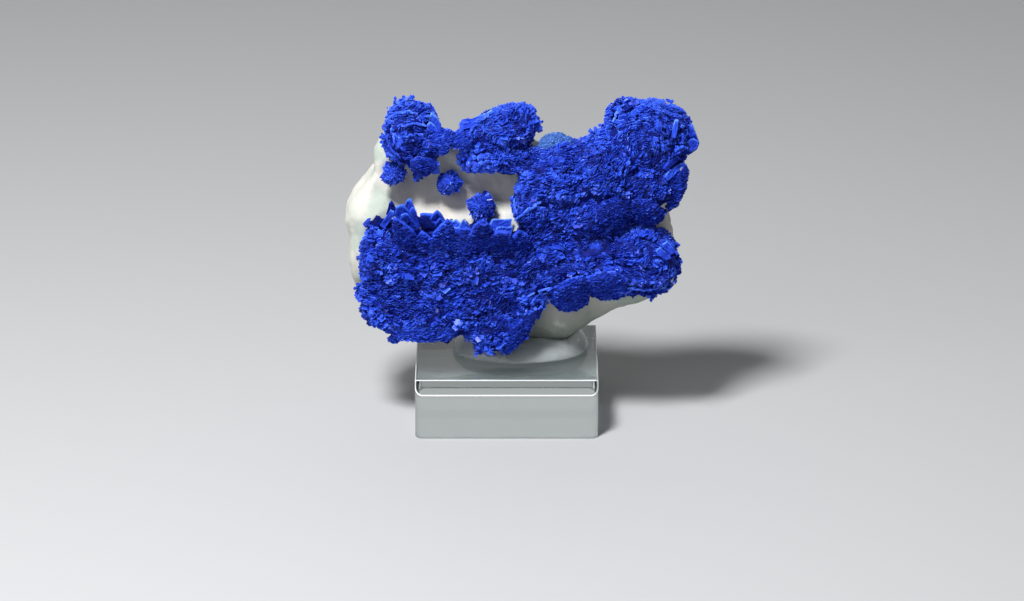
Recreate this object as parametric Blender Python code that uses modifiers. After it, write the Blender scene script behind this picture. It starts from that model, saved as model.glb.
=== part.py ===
"""Azurite crusts on a slab of white clay, held by gel on a clear acrylic block.

Units are metres, +Z is up and the specimen faces -Y. The origin is the centre of the block's underside.
Places and sizes are given in millimetres and turned into metres by MM.
"""

import math
import random

import bmesh
import bpy
from mathutils import Matrix, Vector

MM = 0.001

# Driving dimensions of the block
BLOCK_SIDE = 40.0 * MM
BLOCK_HEIGHT = 12.7 * MM
BLOCK_BEVEL = 2.6 * MM
BLOCK_CORNER_RADIUS = 1.6 * MM
BLOCK_CORNER_STEPS = 4
BLOCK_EDGE_RADIUS = 0.6 * MM
BLOCK_EDGE_STEPS = 2

# Clearance between pieces that touch, and the flat underside of the gel
GAP = 0.3 * MM
GEL_UNDERSIDE = BLOCK_HEIGHT + GAP

# Points nearer than this are one point
MERGE_DISTANCE = 0.03 * MM

# Voxel sizes of the fused forms
ROCK_VOXEL = 1.0 * MM
CRUST_VOXEL = 0.8 * MM
ROSETTE_VOXEL = 0.45 * MM

# Smoothing after fusing: strength of one step, and the steps for each form
SMOOTH_STRENGTH = 0.5
CLAY_SMOOTH_STEPS = 14
CRUST_SMOOTH_STEPS = 2
GEL_SMOOTH_STEPS = 4

# Unevenness of the skins: how long its waves are, and how high
CLAY_GRAIN = 10.0 * MM
CLAY_UNEVENNESS = 3.0 * MM
CRUST_GRAIN = 4.0 * MM
CRUST_UNEVENNESS = 1.6 * MM

# Triangles that each fused form keeps before it is joined or cut
CLAY_TRIANGLES = 1300
CRUST_TRIANGLES = 2400
CLUSTER_TRIANGLES = 400
ROSETTE_TRIANGLES = 80
GEL_TRIANGLES = 840

# Flat crystals: thickness in millimetres, how much narrower one face is, and how many corners they have
PLATE_THICKNESS = 0.55
PLATE_TAPER = 0.8
PLACED_PLATE_CORNERS = 6
SCATTERED_PLATE_CORNERS = 5

# Scattered crystals: the share of the height that stands free, the spread of their sizes, how far
# a fan's angle strays, how far tips lean over sideways and forwards, and how evenly they are spread
FREE_SHARE = 0.3
SIZE_SPREAD = (0.8, 1.2)
ANGLE_STRAY = 0.5
LEAN_SIDEWAYS = 0.5
LEAN_FORWARDS = 0.25
EVENNESS = 0.75
SCATTER_SEED = 11

# Angle of the fans: a wave across the crust with its height, length and start, and a wave up it with
# its height, its length and how slanted it runs
FAN_WAVE_ACROSS = (1.9, 9.0, 0.6)
FAN_WAVE_UPWARDS = (1.6, 7.5, 16.0)

# Half thickness of the clay slab and the depth of its middle plane
SLAB_HALF_THICKNESS = 4.8
SLAB_MIDDLE_Y = 2.6

# Outline of the clay slab seen from the front: x and z in millimetres, clockwise from the top left
SLAB_OUTLINE = (
    (-25.5, 66.0),
    (-19.0, 66.5),
    (-14.0, 61.5),
    (-8.0, 61.5),
    (-1.5, 64.0),
    (7.0, 60.5),
    (14.0, 56.5),
    (21.0, 59.0),
    (27.0, 64.0),
    (33.0, 59.0),
    (34.5, 50.0),
    (35.5, 43.0),
    (37.0, 36.0),
    (37.8, 31.0),
    (36.0, 28.0),
    (31.0, 25.5),
    (20.5, 21.5),
    (13.0, 16.5),
    (4.0, 16.0),
    (-6.0, 20.0),
    (-18.0, 21.0),
    (-28.0, 21.0),
    (-33.0, 26.0),
    (-34.0, 33.0),
    (-34.5, 39.0),
    (-35.8, 44.0),
    (-35.6, 46.5),
    (-32.0, 50.8),
    (-28.2, 56.5),
    (-26.4, 62.0),
)

# Lumps are ellipsoids: centre x, y, z, then half sizes along x, y, z, all in millimetres
CLAY_LUMPS = (
    (-28.5, 0.5, 37.0, 5.6, 7.5, 10.0),
    (-29.5, -0.5, 45.0, 5.8, 6.0, 5.0),
    (-16.0, -2.0, 36.0, 14.0, 8.0, 12.0),
    (2.0, -2.0, 35.0, 16.0, 8.0, 13.0),
    (22.0, -1.0, 37.0, 14.0, 8.0, 13.0),
    (25.0, 1.0, 31.5, 10.0, 8.0, 6.0),
    (11.0, 0.0, 24.5, 8.5, 8.0, 8.0),
    (22.0, 0.0, 52.0, 12.0, 7.5, 9.0),
    (-2.0, 1.0, 58.0, 9.0, 6.0, 5.0),
    (-21.0, 1.0, 58.0, 8.6, 5.0, 8.4),
    (24.5, 2.0, 53.5, 10.5, 7.0, 7.5),
    (-13.0, 4.5, 46.0, 17.0, 7.5, 14.0),
    (17.0, 5.0, 40.0, 15.0, 7.0, 12.0),
    (-20.0, 4.0, 30.0, 10.0, 6.5, 7.0),
)

# Hollows in the clay's face between the crusts
CLAY_HOLLOWS = (
    (-19.0, -8.5, 54.5, 8.5, 8.0, 10.0),
    (-2.5, -8.5, 52.5, 7.0, 8.0, 8.0),
)

UPPER_LEFT_LUMPS = (
    (-21.0, -5.0, 67.2, 5.2, 5.0, 6.2),
    (-22.8, -5.0, 63.2, 4.2, 4.6, 5.0),
    (-18.0, -5.0, 64.4, 4.4, 4.6, 5.2),
    (-19.0, -5.0, 59.6, 3.8, 3.6, 3.6),
    (-13.6, -3.4, 63.4, 1.7, 2.0, 1.6),
)

CRUST_LUMPS = (
    (-0.4, -4.0, 66.0, 7.2, 5.5, 5.2),
    (-6.0, -4.0, 64.4, 4.4, 4.5, 4.0),
    (3.4, -4.0, 68.2, 3.4, 3.6, 3.6),
    (-7.0, -5.0, 59.0, 4.0, 3.6, 3.0),
    (-0.4, -5.0, 59.5, 6.0, 4.6, 3.8),
    (-3.0, -4.6, 61.8, 6.0, 4.4, 3.4),
    (30.0, -5.0, 64.0, 9.6, 7.5, 8.6),
    (30.6, -6.0, 55.4, 7.6, 6.6, 7.3),
    (21.4, -6.0, 57.5, 9.6, 7.0, 8.2),
    (12.2, -6.0, 55.8, 9.0, 6.6, 7.8),
    (7.3, -6.0, 49.5, 6.5, 5.6, 6.5),
    (26.0, -4.5, 69.0, 4.4, 4.5, 4.0),
    (35.8, -4.0, 66.6, 4.4, 4.5, 4.2),
    (17.4, -6.0, 48.0, 10.0, 6.4, 6.4),
    (8.6, -6.2, 42.6, 5.4, 4.8, 5.2),
    (18.6, -6.2, 42.4, 8.0, 4.6, 4.6),
    (29.4, -7.0, 36.9, 8.8, 6.0, 8.0),
    (20.6, -7.0, 36.8, 9.0, 6.0, 8.0),
    (11.8, -7.0, 35.4, 7.4, 5.6, 6.8),
    (-24.6, -7.0, 38.1, 8.0, 5.6, 8.5),
    (-25.1, -6.2, 27.2, 7.5, 5.4, 8.0),
    (-24.4, -6.6, 32.6, 7.8, 5.3, 5.5),
    (-15.8, -7.0, 36.5, 9.0, 6.0, 8.6),
    (-15.8, -6.4, 26.4, 8.5, 5.6, 7.8),
    (-14.5, -6.8, 31.5, 9.0, 5.6, 5.5),
    (-7.0, -7.0, 36.5, 9.0, 6.0, 8.6),
    (-8.1, -6.4, 26.2, 7.5, 5.6, 7.5),
    (-4.0, -6.9, 31.0, 8.6, 5.6, 5.5),
    (1.8, -7.0, 36.0, 8.0, 6.0, 8.4),
    (-2.6, -7.2, 22.0, 6.5, 4.8, 6.4),
    (2.9, -7.0, 27.5, 5.5, 4.8, 6.0),
    (-4.1, -8.0, 18.2, 3.6, 3.0, 3.2),
    (-5.7, -6.0, 48.8, 3.4, 2.6, 3.1),
    (-4.4, -6.0, 44.5, 1.6, 2.4, 3.0),
)

# Rows of single large plates: centre x, y, z, height and width in millimetres,
# then lean to the right, pitch towards the front and turn about the upright, in degrees
CROWN_PLATES = (
    (-29.7, -9.0, 45.6, 4.2, 3.0, -38.0, 5.0, -20.0),
    (-27.7, -9.5, 46.6, 5.0, 3.2, -25.0, 0.0, 15.0),
    (-25.4, -8.6, 48.8, 5.2, 1.9, 6.0, -8.0, 0.0),
    (-23.2, -10.0, 47.8, 6.8, 3.7, -30.0, -12.0, -22.0),
    (-20.7, -9.6, 48.6, 8.0, 3.5, -16.0, -14.0, 12.0),
    (-17.8, -10.4, 46.6, 5.6, 3.6, 3.0, 10.0, -10.0),
    (-15.0, -10.0, 46.4, 7.2, 3.8, 14.0, -8.0, 25.0),
    (-13.4, -11.0, 44.6, 5.4, 3.2, -34.0, 12.0, -15.0),
    (-11.8, -10.0, 45.2, 6.0, 3.2, -6.0, -6.0, 10.0),
    (-9.3, -10.0, 45.0, 6.4, 3.7, 12.0, -8.0, -18.0),
    (-7.0, -10.4, 43.6, 5.2, 3.2, 24.0, 6.0, 12.0),
)

# Plates that hang over the groove below the crown, and those with their tips down along the right band
ROOF_PLATES = (
    (-23.6, -11.4, 44.6, 7.0, 5.2, -14.0, 34.0, -8.0),
    (-19.8, -11.9, 44.2, 7.6, 5.4, 8.0, 36.0, 6.0),
    (-16.0, -12.1, 43.6, 7.0, 5.4, -8.0, 38.0, -5.0),
    (-12.2, -12.1, 43.2, 7.4, 5.4, 10.0, 36.0, 8.0),
    (-8.4, -12.0, 42.8, 6.8, 5.2, -10.0, 38.0, -6.0),
    (-4.6, -12.0, 42.8, 7.2, 5.4, 6.0, 36.0, 5.0),
    (-0.8, -11.8, 42.6, 6.6, 5.2, -8.0, 36.0, -8.0),
    (2.6, -11.4, 43.0, 5.8, 4.6, 12.0, 32.0, 8.0),
)
BAND_PLATES = (
    (9.0, -10.6, 31.0, 7.0, 5.4, 172.0, 30.0, -10.0),
    (12.8, -11.0, 31.4, 7.0, 5.4, 186.0, 32.0, 6.0),
    (16.6, -11.2, 32.0, 7.0, 5.4, 174.0, 32.0, -6.0),
    (20.4, -11.2, 32.2, 6.6, 5.4, 188.0, 34.0, 8.0),
    (24.2, -11.2, 31.2, 6.6, 5.4, 176.0, 34.0, -5.0),
    (28.0, -11.2, 31.0, 6.8, 5.4, 184.0, 32.0, 6.0),
    (31.6, -11.0, 31.2, 6.6, 5.2, 172.0, 30.0, 10.0),
    (34.6, -10.2, 32.0, 6.0, 4.6, 160.0, 26.0, 24.0),
)
EDGE_PLATES = (
    (-8.4, -4.6, 66.8, 5.6, 3.2, -70.0, 0.0, 10.0),
    (3.2, -4.6, 70.0, 5.6, 3.4, 10.0, -4.0, -25.0),
    (6.2, -4.6, 67.0, 4.8, 3.2, 35.0, 0.0, 20.0),
    (10.4, -3.6, 62.0, 4.2, 4.4, -8.0, -20.0, 0.0),
    (24.6, -4.8, 71.8, 4.8, 3.2, -22.0, 5.0, 20.0),
    (35.0, -4.6, 69.4, 5.0, 3.2, 50.0, 5.0, -20.0),
    (38.2, -4.4, 66.6, 5.4, 3.2, 66.0, 0.0, 25.0),
    (38.8, -5.4, 63.6, 6.4, 3.6, 84.0, 10.0, -10.0),
    (37.4, -7.6, 60.0, 6.2, 2.8, 55.0, 20.0, 30.0),
    (36.0, -8.0, 56.6, 6.0, 2.8, 58.0, 18.0, -15.0),
    (35.8, -9.0, 40.2, 5.4, 3.0, 62.0, 10.0, 20.0),
    (36.4, -8.4, 36.0, 5.2, 3.2, 85.0, 10.0, -15.0),
    (-5.6, -9.4, 17.2, 5.2, 4.0, -160.0, 10.0, 20.0),
    (-2.8, -9.0, 17.6, 5.2, 3.6, 155.0, 8.0, -18.0),
    (-30.0, -8.0, 24.0, 5.0, 3.0, -120.0, 10.0, 15.0),
    (-24.6, -8.6, 19.6, 5.6, 3.6, -165.0, 12.0, -10.0),
    (-13.0, -9.0, 19.6, 5.2, 3.4, 172.0, 12.0, 15.0),
)
UPPER_LEFT_PLATES = (
    (-15.8, -4.6, 67.4, 6.6, 3.6, 12.0, -6.0, 24.0),
    (-17.4, -5.4, 70.2, 5.0, 3.0, 30.0, 0.0, -20.0),
    (-21.0, -5.0, 71.6, 4.8, 3.2, 5.0, 0.0, 15.0),
    (-25.4, -5.6, 66.4, 5.0, 3.0, -55.0, 0.0, -15.0),
    (-16.2, -6.6, 57.8, 4.8, 3.4, 130.0, 10.0, 10.0),
    (-19.6, -6.6, 56.4, 4.8, 3.2, 175.0, 10.0, -15.0),
)

# Smaller plates scattered over each mass: how many, their height and their width
CRUST_SCATTER = (62, 4.6, 4.4)
UPPER_LEFT_SCATTER = (12, 4.0, 3.6)
ROSETTE_SCATTER = (7, 2.8, 2.6)

# Ridges on the crust: start x, y, z, end x, y, z and half width in millimetres
CRUST_RIDGES = (
    (7.0, -11.0, 33.0, 13.0, -12.0, 36.0, 1.5),
    (13.0, -12.0, 36.0, 19.0, -12.6, 37.0, 1.5),
    (19.0, -12.6, 37.0, 25.0, -12.6, 34.4, 1.5),
    (25.0, -12.6, 34.0, 34.0, -12.0, 34.0, 1.6),
    (-31.0, -10.6, 40.5, -26.5, -12.0, 37.0, 1.3),
    (-30.6, -9.6, 28.0, -24.4, -11.0, 22.6, 1.4),
    (-12.0, -11.2, 24.0, -5.0, -11.6, 28.5, 1.5),
)

# Grooves in the crust, given as the ridges are: below the crown, along and down the lower field,
# and where the middle peak and the right lobe meet what lies between them
CRUST_GROOVES = (
    (-25.0, -14.4, 43.6, -12.0, -15.0, 42.8, 3.4),
    (-12.0, -15.0, 42.8, 3.4, -14.6, 42.2, 3.4),
    (-10.0, -14.2, 31.4, 6.0, -14.4, 30.8, 2.4),
    (-11.2, -12.4, 26.0, -10.8, -11.6, 19.0, 1.7),
    (15.6, -13.4, 64.5, 16.6, -14.0, 57.5, 1.7),
    (7.2, -9.4, 68.5, 6.8, -10.6, 62.0, 1.8),
)

ROSETTE_LEFT_LUMPS = ((-24.6, -4.6, 56.2, 2.9, 2.1, 2.2),)
ROSETTE_MIDDLE_LUMPS = ((-12.6, -4.2, 53.6, 2.4, 2.1, 2.2),)

# Masses of azurite: name, lumps, ridges, grooves, placed plates, scatter, voxel and triangles
MASSES = (
    (
        "azurite_crust",
        CRUST_LUMPS,
        CRUST_RIDGES,
        CRUST_GROOVES,
        CROWN_PLATES + ROOF_PLATES + BAND_PLATES + EDGE_PLATES,
        CRUST_SCATTER,
        CRUST_VOXEL,
        CRUST_TRIANGLES,
    ),
    (
        "azurite_upper_left",
        UPPER_LEFT_LUMPS,
        (),
        (),
        UPPER_LEFT_PLATES,
        UPPER_LEFT_SCATTER,
        CRUST_VOXEL,
        CLUSTER_TRIANGLES,
    ),
    (
        "azurite_rosette_left",
        ROSETTE_LEFT_LUMPS,
        (),
        (),
        (),
        ROSETTE_SCATTER,
        ROSETTE_VOXEL,
        ROSETTE_TRIANGLES,
    ),
    (
        "azurite_rosette_middle",
        ROSETTE_MIDDLE_LUMPS,
        (),
        (),
        (),
        ROSETTE_SCATTER,
        ROSETTE_VOXEL,
        ROSETTE_TRIANGLES,
    ),
)

GEL_LUMPS = (
    (3.0, 2.0, 13.0, 15.5, 10.8, 5.0),
    (9.0, 3.0, 13.0, 9.4, 9.2, 6.0),
    (-4.0, 1.5, 13.0, 8.4, 8.6, 4.6),
)


def clear_scene():
    """Removes whatever the scene holds, so that the script can be run again."""
    for obj in list(bpy.data.objects):
        bpy.data.objects.remove(obj)


def new_collection(name):
    """Makes a collection and links it to the scene."""
    group = bpy.data.collections.new(name)
    bpy.context.scene.collection.children.link(group)
    return group


def new_material(name, colour, roughness, transmission=0.0, ior=1.5):
    """Makes a Principled material."""
    material = bpy.data.materials.new(name)
    material.use_nodes = True
    shader = material.node_tree.nodes["Principled BSDF"]
    shader.inputs["Base Color"].default_value = (*colour, 1.0)
    shader.inputs["Roughness"].default_value = roughness
    shader.inputs["Metallic"].default_value = 0.0
    shader.inputs["Transmission Weight"].default_value = transmission
    shader.inputs["IOR"].default_value = ior
    return material


def object_from(bm, name, group):
    """Turns a bmesh into an object in the given collection."""
    mesh = bpy.data.meshes.new(name)
    bm.to_mesh(mesh)
    bm.free()
    obj = bpy.data.objects.new(name, mesh)
    group.objects.link(obj)
    return obj


def settle(obj):
    """Replaces an object's mesh by its evaluated mesh, and drops the modifiers."""
    graph = bpy.context.evaluated_depsgraph_get()
    mesh = bpy.data.meshes.new_from_object(obj.evaluated_get(graph))
    obj.modifiers.clear()
    obj.data = mesh


def make_guide(obj):
    """Marks an object as a cutter, which is no part of the specimen."""
    obj.hide_render = True
    obj.display_type = "WIRE"


def add_lumps(bm, lumps):
    """Adds one ellipsoid per row of centre and half sizes in millimetres."""
    for x, y, z, half_x, half_y, half_z in lumps:
        place = Matrix.Translation(Vector((x, y, z)) * MM)
        size = Matrix.Diagonal((half_x * MM, half_y * MM, half_z * MM, 1.0))
        bmesh.ops.create_icosphere(bm, subdivisions=3, radius=1.0, matrix=place @ size)


def add_ridges(bm, ridges):
    """Adds one long ellipsoid along each row's line."""
    for *ends, half_width in ridges:
        start, end = Vector(ends[:3]) * MM, Vector(ends[3:]) * MM
        along = end - start
        place = Matrix.Translation((start + end) / 2) @ along.to_track_quat("Z", "Y").to_matrix().to_4x4()
        radius = half_width * MM
        size = Matrix.Diagonal((radius, radius, along.length / 2 + radius, 1.0))
        bmesh.ops.create_icosphere(bm, subdivisions=3, radius=1.0, matrix=place @ size)


def lump_object(name, lumps, group, ridges=()):
    """Makes an object that holds a set of loose ellipsoids."""
    bm = bmesh.new()
    add_lumps(bm, lumps)
    add_ridges(bm, ridges)
    return object_from(bm, name, group)


def fuse(obj, voxel, smooth_steps=0):
    """Melts overlapping shells into one closed skin, and smooths it."""
    remesh = obj.modifiers.new("fuse", "REMESH")
    remesh.mode = "VOXEL"
    remesh.voxel_size = voxel
    if smooth_steps:
        smooth = obj.modifiers.new("soften", "SMOOTH")
        smooth.factor = SMOOTH_STRENGTH
        smooth.iterations = smooth_steps
    settle(obj)


def roughen(obj, grain, height):
    """Pushes the skin in and out by cloud noise of the given grain and height."""
    noise = bpy.data.textures.new(obj.name + "_noise", "CLOUDS")
    noise.noise_scale = grain
    noise.noise_depth = 2
    displace = obj.modifiers.new("roughen", "DISPLACE")
    displace.texture = noise
    displace.texture_coords = "LOCAL"
    displace.mid_level = 0.5
    displace.strength = height
    settle(obj)


def facet(obj, triangles):
    """Reduces the skin to about the given number of triangles."""
    obj.data.calc_loop_triangles()
    reduce = obj.modifiers.new("facet", "DECIMATE")
    reduce.ratio = min(1.0, triangles / len(obj.data.loop_triangles))
    reduce.use_collapse_triangulate = True
    settle(obj)


def boolean(obj, other, operation):
    """Joins or cuts an object with another one."""
    join = obj.modifiers.new(operation.lower(), "BOOLEAN")
    join.operation = operation
    join.object = other
    settle(obj)


def inflated(obj, distance, group):
    """Makes a cutter that stands off an object's skin by the given distance."""
    copy = bpy.data.objects.new(obj.name + "_cutter", obj.data.copy())
    group.objects.link(copy)
    swell = copy.modifiers.new("swell", "DISPLACE")
    swell.mid_level = 0.0
    swell.strength = distance
    settle(copy)
    make_guide(copy)
    return copy


def keep_largest_body(obj):
    """Drops loose crumbs and sealed hollows that a cut left behind."""
    bm = bmesh.new()
    bm.from_mesh(obj.data)
    unseen = set(bm.verts)
    bodies = []
    while unseen:
        start = unseen.pop()
        body = {start}
        edge_of_body = [start]
        while edge_of_body:
            vert = edge_of_body.pop()
            for edge in vert.link_edges:
                other = edge.other_vert(vert)
                if other in unseen:
                    unseen.remove(other)
                    body.add(other)
                    edge_of_body.append(other)
        bodies.append(body)
    bodies.sort(key=len, reverse=True)
    crumbs = [vert for body in bodies[1:] for vert in body]
    bmesh.ops.delete(bm, geom=crumbs, context="VERTS")
    bm.to_mesh(obj.data)
    bm.free()


def finish(obj, material):
    """Gives an object its material and no other."""
    obj.data.materials.clear()
    obj.data.materials.append(material)


def round_edges(bm, edges, radius, steps):
    """Rounds a set of edges."""
    bmesh.ops.bevel(bm, geom=edges, offset=radius, segments=steps, profile=0.5, affect="EDGES")


def build_block(group, cutters, material):
    """Clear block: rounded upright corners, and a bevel along the front and back top edges."""
    bm = bmesh.new()
    size = Matrix.Diagonal((BLOCK_SIDE, BLOCK_SIDE, BLOCK_HEIGHT, 1.0))
    lift = Matrix.Translation((0.0, 0.0, BLOCK_HEIGHT / 2))
    bmesh.ops.create_cube(bm, size=1.0, matrix=lift @ size)
    upright = [edge for edge in bm.edges if abs(edge.verts[0].co.z - edge.verts[1].co.z) > BLOCK_BEVEL]
    round_edges(bm, upright, BLOCK_CORNER_RADIUS, BLOCK_CORNER_STEPS)
    level = [edge for edge in bm.edges if abs(edge.verts[0].co.z - edge.verts[1].co.z) < GAP]
    round_edges(bm, level, BLOCK_EDGE_RADIUS, BLOCK_EDGE_STEPS)
    block = object_from(bm, "acrylic_block", group)
    cutter_length = 1.2 * BLOCK_SIDE
    cutter_side = 4.0 * BLOCK_BEVEL
    for side in (-1.0, 1.0):
        bm = bmesh.new()
        size = Matrix.Diagonal((cutter_length, cutter_side, cutter_side, 1.0))
        bmesh.ops.create_cube(bm, size=1.0, matrix=size)
        cutter = object_from(bm, "bevel_cutter", cutters)
        reach = cutter_side / 2 - BLOCK_BEVEL / math.sqrt(2.0)
        tilt = Matrix.Rotation(side * math.pi / 4, 4, "X")
        corner = Vector((0.0, side * BLOCK_SIDE / 2, BLOCK_HEIGHT))
        outward = Vector((0.0, side, 1.0)).normalized()
        cutter.data.transform(Matrix.Translation(corner + outward * reach) @ tilt)
        make_guide(cutter)
        boolean(block, cutter, "DIFFERENCE")
    finish(block, material)
    return block


def build_clay(group, cutters, material):
    """White clay slab: an outline with thickness, swollen by lumps and hollowed between the crusts."""
    curve = bpy.data.curves.new("slab", "CURVE")
    curve.dimensions = "2D"
    curve.fill_mode = "BOTH"
    curve.extrude = SLAB_HALF_THICKNESS * MM
    spline = curve.splines.new("POLY")
    spline.points.add(len(SLAB_OUTLINE) - 1)
    for point, (x, z) in zip(spline.points, SLAB_OUTLINE):
        point.co = (x * MM, z * MM, 0.0, 1.0)
    spline.use_cyclic_u = True
    outline = bpy.data.objects.new("slab", curve)
    group.objects.link(outline)
    graph = bpy.context.evaluated_depsgraph_get()
    slab_mesh = bpy.data.meshes.new_from_object(outline.evaluated_get(graph))
    bpy.data.objects.remove(outline)
    upright = Matrix.Rotation(math.pi / 2, 4, "X")
    slab_mesh.transform(Matrix.Translation((0.0, SLAB_MIDDLE_Y * MM, 0.0)) @ upright)
    bm = bmesh.new()
    bm.from_mesh(slab_mesh)
    bmesh.ops.remove_doubles(bm, verts=bm.verts, dist=MERGE_DISTANCE)
    add_lumps(bm, CLAY_LUMPS)
    clay = object_from(bm, "clay_matrix", group)
    fuse(clay, ROCK_VOXEL)
    for row in CLAY_HOLLOWS:
        hollow = lump_object("hollow_cutter", (row,), cutters)
        make_guide(hollow)
        boolean(clay, hollow, "DIFFERENCE")
    fuse(clay, ROCK_VOXEL, CLAY_SMOOTH_STEPS)
    roughen(clay, CLAY_GRAIN, CLAY_UNEVENNESS)
    facet(clay, CLAY_TRIANGLES)
    keep_largest_body(clay)
    finish(clay, material)
    return clay


def add_plate(bm, centre, tip, facing, height, width, corners):
    """Adds one flat crystal: a low tapered prism, stretched so that one corner is its tip."""
    along = tip.normalized()
    across = along.cross(facing).normalized()
    through = across.cross(along)
    frame = Matrix((across, along, through)).transposed().to_4x4()
    frame.translation = centre
    size = Matrix.Diagonal((width / 2, height / 2, PLATE_THICKNESS * MM, 1.0))
    bmesh.ops.create_cone(
        bm,
        cap_ends=True,
        segments=corners,
        radius1=1.0,
        radius2=PLATE_TAPER,
        depth=1.0,
        matrix=frame @ size,
    )


def add_placed_plates(bm, rows):
    """Adds the large plates whose places and tilts are given one by one."""
    for x, y, z, height, width, lean, pitch, turn in rows:
        tilt = (
            Matrix.Rotation(math.radians(turn), 3, "Z")
            @ Matrix.Rotation(math.radians(pitch), 3, "X")
            @ Matrix.Rotation(math.radians(lean), 3, "Y")
        )
        tip = tilt @ Vector((0.0, 0.0, 1.0))
        facing = tilt @ Vector((0.0, -1.0, 0.0))
        centre = Vector((x, y, z)) * MM
        add_plate(bm, centre, tip, facing, height * MM, width * MM, PLACED_PLATE_CORNERS)


def swirl(place):
    """Angle of the fans of crystals at a place, which turns slowly over the crust."""
    x = place.x / MM
    z = place.z / MM
    height, length, start = FAN_WAVE_ACROSS
    across = height * math.sin(x / length + start)
    height, length, slant = FAN_WAVE_UPWARDS
    return across + height * math.cos(z / length - x / slant)


def spread_points(mesh, count, chooser):
    """Picks face centres on a mass that keep clear of each other."""
    faces = list(mesh.polygons)
    chooser.shuffle(faces)
    area = sum(face.area for face in faces)
    clearance = EVENNESS * math.sqrt(area / count)
    picked = []
    for face in faces:
        if len(picked) == count:
            break
        if all((face.center - other).length > clearance for other, _ in picked):
            picked.append((face.center.copy(), face.normal.copy()))
    return picked


def add_scattered_plates(bm, mesh, scatter, chooser):
    """Adds smaller plates that stand on edge over a mass, in slowly turning fans."""
    count, height, width = scatter
    for centre, normal in spread_points(mesh, count, chooser):
        size = chooser.uniform(*SIZE_SPREAD) * MM
        angle = swirl(centre) + chooser.uniform(-ANGLE_STRAY, ANGLE_STRAY)
        level = Vector((math.cos(angle), 0.0, math.sin(angle)))
        facing = (level - level.dot(normal) * normal).normalized()
        tip = (normal + LEAN_SIDEWAYS * facing.cross(normal) + LEAN_FORWARDS * facing).normalized()
        lift = (FREE_SHARE - 0.5) * height * size
        centre = centre + tip * lift
        add_plate(bm, centre, tip, facing, height * size, width * size, SCATTERED_PLATE_CORNERS)


def build_azurite(row, group, cutters, material):
    """One mass of azurite: fused lumps cut by grooves, then flat crystals joined to them."""
    name, lumps, ridges, grooves, placed, scatter, voxel, triangles = row
    mass = lump_object(name, lumps, group, ridges)
    fuse(mass, voxel)
    if grooves:
        groove = lump_object("groove_cutter", (), cutters, grooves)
        fuse(groove, voxel)
        make_guide(groove)
        boolean(mass, groove, "DIFFERENCE")
    fuse(mass, voxel, CRUST_SMOOTH_STEPS)
    roughen(mass, CRUST_GRAIN, CRUST_UNEVENNESS)
    facet(mass, triangles)
    chooser = random.Random(SCATTER_SEED)
    bm = bmesh.new()
    add_placed_plates(bm, placed)
    add_scattered_plates(bm, mass.data, scatter, chooser)
    plates = object_from(bm, name + "_plates", cutters)
    make_guide(plates)
    join = mass.modifiers.new("join", "BOOLEAN")
    join.operation = "UNION"
    join.object = plates
    join.use_self = True
    settle(mass)
    finish(mass, material)
    return mass


def build_gel(group, cutters, material):
    """Low mound of gel with a flat underside."""
    gel = lump_object("mounting_gel", GEL_LUMPS, group)
    fuse(gel, CRUST_VOXEL, GEL_SMOOTH_STEPS)
    facet(gel, GEL_TRIANGLES)
    bm = bmesh.new()
    tray_side = 2.0 * BLOCK_SIDE
    below = Matrix.Translation((0.0, 0.0, GEL_UNDERSIDE - tray_side / 2))
    bmesh.ops.create_cube(bm, size=tray_side, matrix=below)
    tray = object_from(bm, "gel_tray_cutter", cutters)
    make_guide(tray)
    boolean(gel, tray, "DIFFERENCE")
    finish(gel, material)
    return gel


def main():
    """Builds the specimen."""
    clear_scene()
    group = new_collection("azurite_specimen")
    cutters = new_collection("cutters")
    acrylic = new_material("clear_acrylic", (0.93, 0.97, 0.98), 0.02, transmission=1.0, ior=1.49)
    gel_look = new_material("milky_gel", (0.62, 0.68, 0.70), 0.25, transmission=0.6, ior=1.45)
    clay_look = new_material("white_clay", (0.86, 0.84, 0.79), 0.85)
    azurite = new_material("azurite_blue", (0.015, 0.045, 0.55), 0.35)

    build_block(group, cutters, acrylic)
    clay = build_clay(group, cutters, clay_look)
    clay_cutter = inflated(clay, GAP, cutters)

    masses = [build_azurite(row, group, cutters, azurite) for row in MASSES]
    crust, upper_left, *rosettes = masses
    neighbours = [inflated(mass, GAP, cutters) for mass in (crust, upper_left)]
    for rosette in rosettes:
        for neighbour in neighbours:
            boolean(rosette, neighbour, "DIFFERENCE")
    for mass in masses:
        boolean(mass, clay_cutter, "DIFFERENCE")
        keep_largest_body(mass)

    gel = build_gel(group, cutters, gel_look)
    boolean(gel, clay_cutter, "DIFFERENCE")
    boolean(gel, inflated(crust, GAP, cutters), "DIFFERENCE")
    keep_largest_body(gel)


main()
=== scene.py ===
"""Looks of an azurite specimen: blue crusts of thin blades on white clay, gel and a clear block.

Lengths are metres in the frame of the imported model. Places and sizes in the tables below are
millimetres, and MM turns them into metres.
"""

import logging
import math
from dataclasses import dataclass, field
from enum import Enum

import bmesh
import bpy
import numpy as np
from mathutils import Matrix, Vector, noise
from mathutils.bvhtree import BVHTree
from mathutils.kdtree import KDTree


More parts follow.
